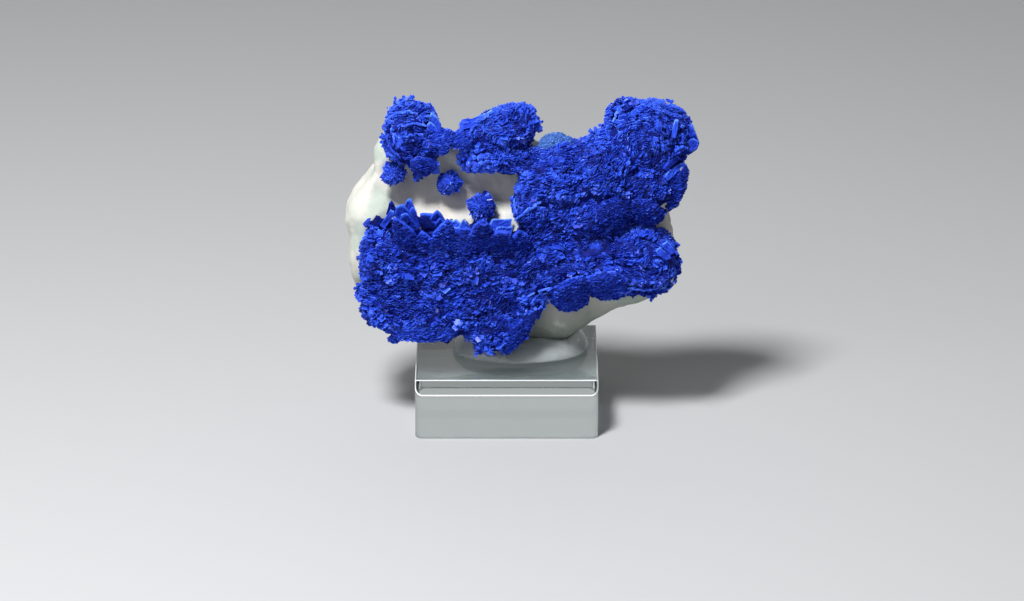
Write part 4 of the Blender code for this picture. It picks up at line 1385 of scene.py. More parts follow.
# How much all the rises and gains below are raised; the gains are painted light, paler on raised stretches
# and darker as shade where below zero
SWELL_RISE = 1.4
SWELL_PAINTED_LIGHT = 1.6
SWELLS = (
    # Painted shade under the right lobe and on its lower shoulder
    Swell(-0.2, -0.08, (
        (19.8, 51.8), (24.0, 52.4), (29.0, 52.4), (33.0, 51.6), (36.0, 53.5), (36.5, 47.0), (30.0, 45.2),
        (20.0, 45.6),
    )),
    Swell(-0.22, 0.0, ((36.0, 55.7), (38.6, 59.4), (40.0, 58.6), (39.6, 54.5), (37.6, 50.3), (35.3, 49.0),
          (35.0, 52.5))),
    Swell(0.23, 0.2, ((-29.7, 45.0), (-29.4, 47.4), (-28.8, 48.4), (-27.5, 48.1), (-26.8, 46.7),
          (-27.3, 44.8))),
    Swell(0.25, 0.5, ((0.7, 44.9), (1.2, 46.6), (2.0, 46.7), (2.6, 45.3), (2.7, 43.5), (1.6, 42.6),
          (0.7, 43.6))),
    Swell(0.31, 0.4, ((-30.6, 42.7), (-30.1, 44.2), (-28.8, 44.2), (-27.5, 44.8), (-26.9, 43.8),
          (-28.4, 42.4), (-29.9, 42.0))),
    Swell(0.23, 0.25, ((-4.0, 69.8), (-1.4, 70.9), (1.4, 71.6), (4.2, 72.4), (4.7, 72.0), (4.2, 70.7),
          (1.2, 70.1), (-1.9, 69.2))),
    Swell(0.24, 0.2, ((4.6, 71.8), (5.5, 70.5), (6.6, 68.8), (7.5, 67.6), (7.5, 66.0), (6.2, 67.2),
          (4.9, 69.7))),
    Swell(0.36, 0.4, ((-3.8, 60.5), (-2.7, 61.5), (-0.6, 61.5), (0.5, 60.6), (-0.8, 59.4), (-2.7, 59.4))),
    Swell(0.2, 0.35, ((1.2, 54.8), (3.1, 57.1), (5.1, 58.1), (5.9, 57.0), (4.2, 55.0), (2.0, 53.7))),
    Swell(0.28, 0.35, ((-6.2, 60.9), (-5.3, 62.0), (-3.8, 62.1), (-3.4, 60.8), (-4.2, 59.7), (-5.8, 59.6))),
    Swell(0.17, 0.3, ((4.4, 63.2), (6.2, 64.1), (7.5, 62.7), (6.6, 61.1), (4.9, 61.3))),
    Swell(0.35, 0.25, ((20.9, 67.8), (21.3, 70.2), (22.1, 71.0), (23.4, 71.4), (24.5, 70.8), (24.3, 68.9),
          (23.2, 67.4), (21.7, 66.7))),
    Swell(0.25, 0.15, ((23.6, 72.0), (24.5, 73.4), (25.8, 73.5), (27.6, 73.2), (27.1, 72.1), (25.4, 71.6))),
    Swell(0.29, 0.2, ((27.3, 73.1), (30.2, 73.0), (31.7, 72.6), (31.2, 71.4), (28.9, 71.8))),
    Swell(0.5, 0.4, ((30.1, 71.6), (31.0, 72.6), (32.5, 72.7), (34.0, 72.1), (33.8, 70.9), (32.0, 70.7))),
    Swell(0.33, 0.3, ((33.2, 71.9), (34.7, 72.1), (36.4, 71.2), (38.4, 69.6), (37.9, 68.8), (35.7, 69.4),
          (34.0, 70.6))),
    Swell(0.15, 0.4, ((33.9, 63.5), (35.5, 64.3), (37.5, 64.1), (39.7, 62.1), (39.3, 61.3), (37.0, 62.2),
          (34.8, 62.1))),
    Swell(0.28, 0.4, ((19.3, 63.2), (20.2, 65.3), (21.5, 66.2), (22.8, 65.4), (21.9, 63.5), (20.2, 62.2))),
    Swell(0.3, 0.35, ((18.0, 64.8), (19.6, 66.3), (21.1, 66.5), (20.8, 65.3), (19.3, 64.0))),
    Swell(0.25, 0.45, ((24.9, 68.6), (26.4, 70.2), (28.8, 71.4), (30.5, 71.4), (28.8, 70.4), (26.6, 69.0),
          (25.3, 67.8))),
    Swell(0.25, 0.5, ((25.9, 67.6), (27.4, 69.5), (30.0, 70.5), (32.0, 70.1), (29.8, 69.5), (27.5, 68.0))),
    Swell(0.28, 0.5, ((30.2, 49.0), (31.1, 50.4), (32.6, 51.5), (33.0, 51.0), (31.9, 49.5), (30.9, 48.4))),
    Swell(0.28, 0.3, ((26.4, 44.2), (28.6, 44.8), (30.7, 44.6), (32.7, 43.3), (33.5, 42.3), (32.2, 42.0),
          (30.3, 43.3), (27.7, 43.6))),
    Swell(0.24, 0.3, ((35.4, 32.4), (35.9, 35.4), (36.9, 36.1), (37.8, 34.0), (37.8, 31.7), (36.5, 31.0))),
    Swell(0.38, 0.45, ((4.9, 28.3), (7.5, 29.6), (10.1, 29.4), (11.2, 27.9), (9.2, 26.6), (6.4, 26.8))),
    Swell(0.4, 0.5, ((2.5, 29.0), (4.4, 29.8), (7.1, 30.4), (8.2, 29.6), (6.0, 28.6), (3.8, 28.0))),
    Swell(0.33, 0.45, ((10.7, 32.2), (12.9, 34.2), (15.9, 35.4), (18.6, 36.1), (19.0, 35.6), (16.0, 34.3),
          (13.1, 33.0), (11.4, 31.3))),
    Swell(0.33, 0.45, ((18.1, 36.1), (20.9, 36.9), (24.2, 37.0), (25.9, 36.3), (23.8, 35.7), (20.7, 35.8))),
    Swell(0.31, 0.45, ((-30.3, 40.2), (-29.4, 40.9), (-27.7, 39.7), (-26.0, 38.0), (-24.5, 36.9),
          (-25.1, 35.9), (-27.1, 36.6), (-28.8, 38.3))),
    Swell(0.34, 0.4, ((-32.4, 28.1), (-31.9, 30.2), (-30.9, 31.3), (-29.6, 30.0), (-28.3, 28.7),
          (-29.4, 27.8), (-31.0, 27.7))),
    Swell(0.34, 0.5, ((-30.2, 27.8), (-29.4, 27.8), (-27.7, 25.1), (-25.5, 23.1), (-22.9, 21.8),
          (-23.3, 20.5), (-26.0, 21.3), (-28.3, 23.7))),
    Swell(0.31, 0.45, ((-26.0, 19.4), (-25.3, 20.8), (-24.0, 21.4), (-22.5, 20.7), (-22.7, 19.3),
          (-24.5, 18.5))),
    Swell(0.35, 0.45, ((-22.9, 22.4), (-22.2, 24.2), (-20.9, 24.8), (-20.0, 23.5), (-20.9, 22.0))),
    Swell(0.31, 0.4, ((-15.9, 19.8), (-14.8, 21.1), (-12.8, 21.1), (-11.3, 21.6), (-11.3, 19.8),
          (-13.1, 18.8), (-15.0, 18.8))),
    Swell(0.3, 0.4, ((-26.5, 33.5), (-25.8, 35.2), (-24.0, 35.7), (-23.2, 34.7), (-24.1, 33.2))),
    Swell(0.31, 0.5, ((-6.7, 18.9), (-5.8, 20.8), (-4.3, 21.7), (-2.1, 20.9), (-1.2, 19.1), (-2.1, 16.9),
          (-4.1, 15.7), (-5.8, 16.8))),
    Swell(0.36, 0.5, ((-5.0, 17.2), (-3.2, 18.6), (-1.2, 18.1), (-0.6, 16.4), (-2.1, 14.8), (-4.3, 15.1))),
    Swell(0.3, 0.5, ((-11.3, 23.1), (-10.4, 24.6), (-8.4, 25.2), (-7.1, 24.3), (-8.4, 22.7),
          (-10.4, 22.1))),
    Swell(0.3, 0.5, ((-8.9, 20.1), (-7.8, 21.6), (-5.8, 22.2), (-5.2, 21.1), (-6.7, 19.5), (-8.5, 19.1))),
    Swell(0.31, 0.2, ((-23.9, 72.1), (-22.8, 73.3), (-21.3, 73.8), (-20.3, 73.7), (-20.7, 72.6),
          (-22.4, 71.8))),
    Swell(0.25, 0.2, ((-20.7, 73.5), (-18.9, 73.2), (-17.6, 72.7), (-16.3, 71.8), (-17.0, 70.8),
          (-18.9, 71.4))),
    Swell(0.3, 0.45, ((-25.6, 67.4), (-25.0, 69.9), (-23.6, 71.3), (-22.6, 71.0), (-23.7, 69.4),
          (-24.5, 67.1))),
    Swell(0.25, 0.45, ((-26.3, 63.8), (-26.1, 66.3), (-25.2, 66.8), (-24.8, 65.1), (-25.0, 63.1))),
    Swell(0.35, 0.45, ((-18.9, 70.1), (-17.8, 71.3), (-16.7, 71.0), (-16.5, 69.8), (-17.8, 69.2))),
    Swell(0.23, 0.35, ((-15.9, 64.9), (-14.4, 65.4), (-12.3, 64.3), (-11.2, 62.8), (-12.7, 62.5),
          (-15.1, 63.2))),
    Swell(0.2, 0.3, ((8.3, 58.1), (11.5, 59.8), (15.8, 60.8), (19.3, 60.2), (18.0, 57.6), (13.7, 55.9),
          (9.8, 55.5))),
    Swell(0.18, 0.3, ((9.8, 53.6), (12.2, 55.3), (14.3, 55.1), (13.7, 53.4), (11.1, 52.1))),
    Swell(0.2, 0.3, ((20.2, 59.3), (23.4, 61.3), (26.6, 61.5), (28.8, 60.1), (26.2, 58.5), (22.3, 57.4))),
    Swell(0.18, 0.3, ((6.4, 40.3), (9.9, 41.5), (13.8, 41.5), (12.9, 39.8), (9.0, 38.9))),
    Swell(0.2, 0.25, ((-8.0, 38.6), (-4.5, 39.8), (-1.4, 39.2), (-2.7, 37.0), (-6.2, 36.7))),
    Swell(0.18, 0.3, ((-19.3, 37.2), (-16.2, 38.5), (-13.2, 37.6), (-14.5, 35.4), (-18.0, 35.3))),
    Swell(0.2, 0.3, ((-1.4, 31.9), (1.2, 33.6), (3.8, 33.4), (2.5, 31.2), (-0.1, 30.4))),
    Swell(0.18, 0.3, ((-27.6, 29.2), (-24.6, 30.6), (-21.5, 30.0), (-22.8, 27.9), (-25.9, 27.5))),
)


class Part(Enum):
    """Kinds of ground that the skin of a mass offers to crystals."""

    FIELD = "field"
    BLOCKY = "blocky"
    BARE = "bare"


@dataclass(frozen=True)
class Patch:
    """A stretch of one kind, as corners in x and z."""

    kind: Part
    corners: tuple[Row, ...]


PATCHES = (
    Patch(Part.BARE, (
        (-31.5, 46.5), (-27.0, 44.8), (-21.0, 44.4), (-16.0, 44.0), (-11.0, 43.2), (-4.0, 43.4), (-4.0, 47.5),
        (-9.0, 49.0), (-14.0, 50.5), (-20.0, 53.5), (-26.0, 52.0), (-31.5, 49.0),
    )),
    Patch(Part.BARE, (
        (-25.0, 45.6), (-21.0, 44.6), (-16.0, 44.2), (-11.0, 43.4), (-6.0, 43.6), (0.0, 44.4), (4.5, 45.0),
        (5.5, 42.2), (1.0, 41.2), (-4.5, 39.8), (-9.0, 39.8), (-13.0, 40.8), (-18.0, 41.2), (-22.0, 42.8),
    )),
    Patch(Part.BLOCKY, ((-14.8, 65.6), (-7.2, 66.0), (-5.8, 61.4), (-2.4, 58.8), (-4.0, 54.0),
          (-11.6, 55.0), (-14.8, 60.6))),
)


@dataclass(frozen=True)
class Ridge:
    """A crest of plates that overlap along a line of x and z points."""

    line: tuple[Row, ...]
    width: float = 2.1
    height: float = 1.5
    rise: float = 0.35
    step: float = 0.62
    tone: float = 0.58
    thickness: float = 0.34
    pull: Row = (0.0, -0.75, 0.45)
    least_facing: float = 0.25

    def stations(self) -> tuple[Array, Array]:
        """Walks along the line.

        Returns:
            The stations' x and z in metres, and the line's direction there.
        """
        points = np.array(self.line) * MM
        legs = np.linalg.norm(np.diff(points, axis=0), axis=1)
        walked = np.concatenate(((0.0,), np.cumsum(legs)))
        stops = np.arange(0.0, walked[-1], self.step * MM)
        x = np.interp(stops, walked, points[:, 0])
        z = np.interp(stops, walked, points[:, 1])
        spots = np.stack((x, z), axis=1)
        return spots, unit(np.gradient(spots, axis=0))


CRUST_RIDGES = (
    Ridge(((2.4, 29.2), (5.4, 30.4), (8.4, 31.6), (11.8, 32.8), (16.2, 33.7), (20.6, 34.3),
          (23.4, 33.6)), rise=0.7),
    Ridge(((23.0, 32.0), (25.8, 31.0), (27.2, 32.2), (31.6, 31.8), (35.4, 31.6), (36.8, 33.2),
          (38.0, 34.4)), rise=0.7),
    Ridge(((23.4, 69.4), (24.4, 71.4), (26.4, 72.8)), width=2.2, rise=0.5),
    Ridge(((-7.9, 65.9), (-6.3, 68.2), (-3.7, 69.8), (-1.5, 71.6)), width=2.2, rise=0.6),
    Ridge(((2.2, 56.0), (1.6, 53.4), (1.6, 51.0), (2.6, 48.2)), width=1.8, rise=0.5),
    Ridge(((2.6, 47.6), (5.4, 50.0), (7.6, 51.6)), width=2.2, rise=0.6),
)
UPPER_LEFT_RIDGES = (
    Ridge(((-25.7, 69.4), (-26.2, 66.6), (-25.3, 63.6), (-23.5, 61.2)), width=1.8, rise=0.5),
    Ridge(((-24.4, 68.2), (-24.8, 66.4), (-23.8, 64.0), (-21.8, 62.8)), width=1.6, rise=0.4),
    Ridge(((-23.0, 70.9), (-21.3, 71.2), (-19.4, 70.6)), width=1.8, rise=0.4),
    Ridge(((-22.8, 68.3), (-20.0, 69.0), (-17.4, 68.0)), width=1.8, rise=0.4),
    Ridge(((-22.0, 66.2), (-19.6, 66.6), (-17.6, 65.4)), width=1.6, rise=0.4),
)


@dataclass(frozen=True)
class Region:
    """A named stretch of the crust, which holds the places nearest to its middles."""

    name: str
    middles: tuple[Row, ...]


CRUST_REGIONS = (
    Region("blades_middle_peak", ((-2.0, 64.0), (-3.0, 59.0))),
    Region("blades_right_lobe", ((30.0, 64.0), (31.0, 55.0), (21.5, 58.0))),
    Region("blades_middle_field", ((11.0, 54.0), (16.0, 47.0))),
    Region("blades_right_band", ((20.0, 38.0), (31.0, 37.0), (11.0, 37.0))),
    Region("blades_left_field", ((-24.0, 38.0), (-15.0, 37.0), (-24.0, 26.0), (-14.0, 26.0))),
    Region("blades_lower_field", ((-4.0, 36.0), (0.0, 29.0), (-5.0, 24.0), (-3.0, 19.0))),
)
UPPER_LEFT_REGIONS = (Region("blades_upper_left", ((-20.0, 64.0),)),)


@dataclass(frozen=True)
class Growth:
    """How the crystals of one habit grow: their form, spacing, size and stray."""

    habit: Habit
    ground: Part
    spacing: float
    stretch: float
    size: Row
    spread: float
    turn_stray: float
    lean_stray: float
    rise: Span
    tone: Span
    corners: int = 6
    terraces: int = 0
    kinds: int = 5
    book_share: float = 1.0
    book_stray: float = 0.0

    def forms(self, rng: Chance) -> list[CrystalForm]:
        """Makes the habit's unit forms."""
        return [CrystalForm.tablet(self.corners, FINE.taper, self.terraces, rng) for _ in range(self.kinds)]


GROWTHS = (
    Growth(Habit.BLADE, Part.FIELD, 0.24, 1.9, FINE.size, 0.30, 0.18, 0.15, FINE.rise, (2.2, 2.6),
           corners=FINE.corners, book_share=0.016, book_stray=1.0),
    Growth(Habit.BLOCK, Part.BLOCKY, 0.85, 1.0, (1.35, 1.8, 0.75), 0.24, 1.50, 0.60, (-0.1, 0.25), (3.0, 2.4),
           terraces=1),
)


@dataclass(frozen=True)
class Books:
    """Books of parallel crystals: what the crystals of one book share, a row for each crystal."""

    turn: Array
    lean: Array
    rise: Array
    bulk: Array
    tone: Array

    @classmethod
    def among(cls, places: Array, growth: Growth, rng: Chance) -> "Books":
        """Parts places into books, each round a middle.

        Args:
            places: points, one row each.
            growth: the crystals' habit.
            rng: source of chance.

        Returns:
            What each place has from its book.
        """
        number = max(1, round(len(places) * growth.book_share))
        middles = places[rng.choice(len(places), number, replace=False)]
        tree = KDTree(number)
        for index, middle in enumerate(middles):
            tree.insert(middle, index)
        tree.balance()
        own = np.array([tree.find(place)[1] for place in places])
        stray = growth.book_stray
        return cls(
            turn=rng.normal(0.0, 0.34 * stray, number)[own],
            lean=rng.normal(0.0, 0.42 * stray, number)[own],
            rise=rng.normal(0.0, 0.26 * stray, number)[own],
            bulk=rng.lognormal(0.0, 0.20 * stray, number)[own],
            tone=rng.normal(0.0, 0.12 * stray, number)[own],
        )

    def where(self, picked: Array) -> "Books":
        """Keeps the places that a list of numbers names."""
        return Books(*(getattr(self, name)[picked] for name in ("turn", "lean", "rise", "bulk", "tone")))


@dataclass
class AzuriteMass:
    """One mass of azurite: a skin, fine blades, crests, large plates, covered shoulders and large blades."""

    node: str
    bed_name: str
    regions: tuple[Region, ...]
    rims: RimField
    ridges: tuple[Ridge, ...]
    placed: tuple[Row, ...]
    leaves: tuple[Leaf, ...]
    shoulders: tuple[Leaf, ...]
    plates_name: str
    leaves_name: str
    clay: BVHTree
    blade_finish: bpy.types.Material
    leaf_finish: bpy.types.Material
    bed_finish: bpy.types.Material
    seed: int = 5
    clay_clearance: float = 0.25 * MM
    look_ahead: float = 0.9 * MM
    closing: float = 0.3 * MM
    near_clay: float = 1.2 * MM
    ridge_clearance: float = 0.55 * MM
    gap_share: float = 0.34
    places_per_face: int = 9
    front: float = -30.0 * MM
    front_half: float = -2.0 * MM
    underside: float = -0.62
    side: float = -0.4
    side_bulk: float = 1.1
    palest: float = 0.74
    thick_plate: float = 0.45
    thin_plate: float = 0.26
    reskin: Reskin = Reskin(
        voxel=0.50 * MM,
        smooth_steps=3,
        sink=0.40 * MM,
        waves=((2.8 * MM, 1.3 * MM), (1.0 * MM, 0.45 * MM)),
    )

    def build(self) -> list[bpy.types.Object]:
        """Builds and dresses all the pieces of this mass.

        Returns:
            The pieces.
        """
        rng = np.random.default_rng(self.seed)
        bed = self.reskin.build(self.node, self.bed_name)
        self.press_pits(bed)
        bed.data.shade_smooth()
        surface = surface_tree(bed)
        skin = self.open_skin(Skin.of(bed, 1, rng))
        meshes = {region.name: CrystalMesh(rng) for region in self.regions}
        for growth in GROWTHS:
            self.grow(growth, skin if growth.habit is not Habit.BLADE else self.dense(bed, rng), meshes, rng)
        plates = CrystalMesh(rng)
        for ridge in self.ridges:
            self.raise_ridge(ridge, surface, plates, rng)
        self.place_plates(plates, rng)
        for shoulder in self.shoulders:
            shoulder.layer(plates, rng)
            shoulder.cover(plates, rng)
        leaves = CrystalMesh(rng)
        for leaf in self.leaves:
            leaf.grow(leaves, rng)
        dress(bed, Slot.AZURITE, self.bed_finish)
        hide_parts(self.node)
        pieces = [bed]
        for name, mesh in (*meshes.items(), (self.plates_name, plates), (self.leaves_name, leaves)):
            piece = mesh.write(name)
            dress(piece, Slot.AZURITE, self.leaf_finish if mesh is leaves else self.blade_finish)
            pieces.append(piece)
            LOG.info("%s has %d crystals", name, mesh.crystals)
        return pieces

    def press_pits(self, bed: bpy.types.Object) -> None:
        """Presses the pits into the front of the skin.

        Args:
            bed: the skin.
        """
        mesh = bed.data
        points = points_of(mesh)
        for x, z, reach, depth in PITS:
            gap = front_gap(points, x, z)
            near = (gap < 2.5 * reach * MM) & (points[:, 1] < -5.0 * MM)
            points[near, 1] += depth * MM * np.exp(-0.5 * (gap[near] / (0.7 * reach * MM)) ** 2)
        mesh.vertices.foreach_set("co", points.ravel())
        mesh.update()

    def dense(self, bed: bpy.types.Object, rng: Chance) -> Skin:
        """Picks many places on the skin for the fine blades, and leaves gaps at pits and crests.

        Args:
            bed: the skin's mesh.
            rng: source of chance.

        Returns:
            The places.
        """
        skin = Skin.of(bed, self.places_per_face, rng)
        open_places = np.ones(len(skin.places), bool)
        flat = skin.places[:, (0, 2)]
        for x, z, reach, _ in PITS:
            open_places &= front_gap(skin.places, x, z) > 0.55 * reach * MM
        for ridge in self.ridges:
            for spot in ridge.stations()[0]:
                open_places &= np.hypot(*(flat - spot).T) > self.ridge_clearance
        skin = skin.where(open_places)
        clumps = np.array([noise.noise(Vector(place) * 750.0) for place in skin.places])
        return self.open_skin(skin.where(clumps < self.gap_share))

    def open_skin(self, skin: Skin) -> Skin:
        """Leaves out the places that lie against the clay.

        Args:
            skin: all of the skin.

        Returns:
            The places where crystals can grow.
        """
        clear = clearance(self.clay, skin.places)
        keep = clear > self.clay_clearance
        skin = skin.where(keep)
        clear = clear[keep]
        ahead = clearance(self.clay, skin.places + skin.normals * self.look_ahead)
        return skin.where(~((ahead < clear - self.closing) & (clear < self.near_clay)))

    def ground_of(self, skin: Skin) -> Array:
        """Names the kind of ground at each place.

        Args:
            skin: the places.

        Returns:
            A member of Part for each.
        """
        kinds = np.full(len(skin.places), Part.FIELD, dtype=object)
        kinds[skin.normals[:, 2] < self.underside] = Part.BARE
        for patch in PATCHES:
            kinds[self.on_front(patch.corners, skin.places)] = patch.kind
        return kinds

    def on_front(self, corners: tuple[Row, ...], places: Array) -> Array:
        """Finds the places inside an outline that are in the front half of the mass."""
        return inside(corners, places) & (places[:, 1] < self.front_half)

    def grow(self, growth: Growth, skin: Skin, meshes: dict[str, CrystalMesh], rng: Chance) -> None:
        """Grows the crystals of one habit on their ground.

        Args:
            growth: the habit.
            skin: where crystals can grow.
            meshes: the regions' meshes by name.
            rng: source of chance.
        """
        skin = skin.where(self.ground_of(skin) == growth.ground)
        books = Books.among(skin.places, growth, rng)
        angles = self.rims.angles(skin.places) + books.turn
        rims = rim_rows(angles)
        picked = skin.thinned(growth.spacing * MM, growth.stretch, rims, rng)
        skin = skin.where(picked)
        books = books.where(picked)
        number = len(picked)
        angles = angles[picked] + rng.normal(0.0, growth.turn_stray, number)
        lean = books.lean + rng.normal(0.0, growth.lean_stray, number)
        sway = rng.normal(0.0, FINE.sway, number)
        axes = standing_axes(skin.normals, rim_rows(angles), lean, sway)
        bulk = rng.lognormal(0.0, growth.spread, number) * books.bulk
        bulk = np.where(skin.normals[:, 1] > self.side, np.minimum(bulk, self.side_bulk), bulk)
        width, height, thickness = growth.size
        sizes = np.stack((width * bulk, height * bulk, thickness * np.sqrt(bulk)), axis=1) * MM
        rise = (rng.uniform(*growth.rise, number) + books.rise) * MM
        tones = rng.beta(*growth.tone, number) + books.tone
        # Swells: gains above zero paint a highlight on raised stretches, gains below zero paint shade
        for swell in SWELLS:
            own = self.on_front(swell.corners, skin.places)
            rise[own] += SWELL_RISE * swell.rise * MM
            tones[own] += SWELL_PAINTED_LIGHT * swell.gain
        places = skin.places + skin.normals * rise[:, None]
        tones = np.minimum(self.with_painted_light(places, tones), self.palest)
        forms = growth.forms(rng)
        kinds = rng.integers(0, len(forms), number)
        numbers = self.region_of(places)
        for index, region in enumerate(self.regions):
            for kind, form in enumerate(forms):
                own = (numbers == index) & (kinds == kind)
                meshes[region.name].grow(form, places[own], axes[own], sizes[own], tones[own])

    @staticmethod
    def with_painted_light(places: Array, tones: Array) -> Array:
        """Raises tones where light is painted on as paler stretches, and lowers them where shade is painted.

        Args:
            places: points, one row each.
            tones: how pale the crystals there are.

        Returns:
            The raised tones, up to 1.
        """
        for x, z, reach, gain in PAINTED_LIGHT_SPOTS:
            tones = tones + gain * np.exp(-0.5 * (front_gap(places, x, z) / (reach * MM)) ** 2)
        return np.clip(tones, 0.0, 1.0)

    def region_of(self, places: Array) -> Array:
        """Finds the region that each place belongs to.

        Args:
            places: points, one row each.

        Returns:
            The regions' numbers.
        """
        nearest = np.full((len(places), len(self.regions)), np.inf)
        for number, region in enumerate(self.regions):
            for x, z in region.middles:
                nearest[:, number] = np.minimum(nearest[:, number], front_gap(places, x, z))
        return nearest.argmin(axis=1)

    def raise_ridge(self, ridge: Ridge, surface: BVHTree, plates: CrystalMesh, rng: Chance) -> None:
        """Sets overlapping plates along a ridge, found on the skin from the front.

        Args:
            ridge: the ridge.
            surface: the skin.
            plates: the mesh that the plates go into.
            rng: source of chance.
        """
        forms = plate_forms(rng)
        for (x, z), (run, climb) in zip(*ridge.stations()):
            spot, normal, _, _ = surface.ray_cast(Vector((x, self.front, z)), Vector((0.0, 1.0, 0.0)))
            if spot is None or normal.y > -ridge.least_facing:
                continue
            normal = np.array((normal * 0.5 + Vector(ridge.pull) * 0.5).normalized())[None]
            rim = np.array((run, rng.normal(0.0, 0.08), climb))[None]
            axes = standing_axes(normal, rim, rng.normal(0.0, 0.30, 1), rng.normal(0.0, 0.20, 1))
            bulk = rng.lognormal(0.0, 0.12)
            size = np.array((ridge.width * bulk, ridge.height * bulk, ridge.thickness)) * MM
            rise = ridge.rise + rng.normal(0.0, 0.16) - 0.25 * ridge.height
            place = np.array(spot)[None] + normal * rise * MM
            tone = self.with_painted_light(place, np.array([ridge.tone + rng.normal(0.0, 0.10)]))
            form = forms[rng.integers(0, len(forms))]
            plates.grow(form, place, axes, size[None], tone, unevenness=0.10)

    def place_plates(self, plates: CrystalMesh, rng: Chance) -> None:
        """Sets the large plates, each with thinner ones grown beside it.

        Args:
            plates: the mesh of plates.
            rng: source of chance.
        """
        forms = [CrystalForm.tablet(5 + turn % 2, 0.9, 1, rng) for turn in range(6)]
        for x, y, z, height, width, lean, pitch, turn in self.placed:
            for leaf in range(3):
                stray = rng.normal(0.0, 2.5 if leaf else 0.0, 3)
                axes = tilted_axes(lean + stray[0], pitch + stray[1], turn + stray[2])
                share = 1.0 if leaf == 0 else rng.uniform(0.55, 0.92)
                shift = axes[2] * (rng.uniform(0.25, 0.6) * leaf * (-1.0) ** leaf) * MM
                shift += axes[0] * rng.normal(0.0, 0.3 if leaf else 0.0) * MM
                sunk = axes[1] * (1.0 - share) * 0.35 * height * MM
                centre = (np.array((x, y, z)) * MM + shift - sunk)[None]
                thickness = self.thin_plate if leaf else self.thick_plate
                size = np.array((width * share, height * share, thickness)) * MM
                tone = self.with_painted_light(centre, np.array([rng.beta(2.4, 4.2)]))
                form = forms[rng.integers(0, len(forms))]
                plates.grow(form, centre, axes[None], size[None], tone, unevenness=0.08)


@dataclass(frozen=True)
class Ring:
    """A ring of petals: their number, spread from the axis in degrees, length, width and twist in degrees."""

    petals: int
    spread: float
    length: float
    width: float
    twist: float


# Rings of the two rounder rosettes, and of the one in the hollow
ROUND_RINGS = (
    Ring(13, 84.0, 3.1, 1.9, 8.0), Ring(16, 60.0, 2.9, 1.4, 40.0), Ring(16, 36.0, 2.5, 1.1, 70.0),
    Ring(10, 13.0, 2.3, 0.9, 85.0),
)
STAR_RINGS = (
    Ring(8, 86.0, 3.3, 2.3, 10.0), Ring(13, 66.0, 2.8, 1.4, 50.0), Ring(14, 42.0, 2.4, 1.0, 75.0),
    Ring(10, 16.0, 2.1, 0.8, 90.0),
)


@dataclass
class Rosette:
    """A small rosette: rings of petals that open towards the viewer, with a cap of fine blades."""

    name: str
    centre: Row
    axis: Row
    rings: tuple[Ring, ...]
    finish: bpy.types.Material
    node: str = ""
    bed_finish: bpy.types.Material | None = None
    cap_radius: float = 2.4
    petal_thickness: float = 0.24
    seed: int = 3
    reskin: Reskin = Reskin(voxel=0.22 * MM, smooth_steps=4, sink=0.55 * MM, waves=((0.9 * MM, 0.3 * MM),))

    def build(self) -> list[bpy.types.Object]:
        """Builds and dresses the rosette, with its skin where it has a node of its own.

        Returns:
            The pieces.
        """
        rng = np.random.default_rng(self.seed)
        petals = CrystalMesh(rng)
        forms = plate_forms(rng)
        axis = np.array(self.axis) / np.linalg.norm(self.axis)
        first = unit(np.cross(axis, (0.0, 0.0, 1.0))[None])[0]
        second = np.cross(axis, first)
        for level, ring in enumerate(self.rings):
            for petal in range(ring.petals):
                turn = 2.0 * math.pi * (petal + 0.5 * (level % 2)) / ring.petals + rng.normal(0.0, 0.12)
                outward = math.cos(turn) * first + math.sin(turn) * second
                open_angle = math.radians(ring.spread + rng.normal(0.0, 6.0))
                tip = outward * math.sin(open_angle) + axis * math.cos(open_angle)
                inward = axis * math.sin(open_angle) - outward * math.cos(open_angle)
                twist = math.radians(ring.twist + rng.normal(0.0, 22.0))
                side = np.cross(tip, inward)
                through = inward * math.cos(twist) + side * math.sin(twist)
                axes = np.stack((np.cross(tip, through), tip, through))
                length = ring.length * rng.uniform(0.85, 1.12) * MM
                width = ring.width * rng.uniform(0.85, 1.15) * MM
                size = np.array((width, length, self.petal_thickness * MM))
                centre = np.array(self.centre) * MM + tip * length * 0.5
                tone = np.clip(rng.beta(2.6, 2.4), 0.0, 1.0)
                form = forms[rng.integers(0, len(forms))]
                petals.grow(form, centre[None], axes[None], size[None], np.array([tone]))
        self.cap(petals, rng)
        pieces = [petals.write(self.name)]
        dress(pieces[0], Slot.AZURITE, self.finish)
        if self.node:
            bed = self.reskin.build(self.node, self.name + "_bed")
            bed.data.shade_smooth()
            dress(bed, Slot.AZURITE, self.bed_finish)
            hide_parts(self.node)
            pieces.append(bed)
        return pieces

    def cap(self, petals: CrystalMesh, rng: Chance) -> None:
        """Closes the rosette's middle with fine blades that run out from it.

        Args:
            petals: the mesh.
            rng: source of chance.
        """
        turns = np.linspace(0.0, 2.0 * math.pi, 10, endpoint=False)
        reach = self.cap_radius * rng.uniform(0.62, 1.18, len(turns))
        across, depth, upward = self.centre
        corners = np.stack((across + reach * np.cos(turns), upward + 0.4 + reach * np.sin(turns)), axis=1)
        cap = Leaf(depth - 1.2, 0.0, 0.25, 1.4, 0.44, tuple(map(tuple, corners)), 1.3)
        cap.layer(petals, rng)
        cap.cover(petals, rng, radial=True)


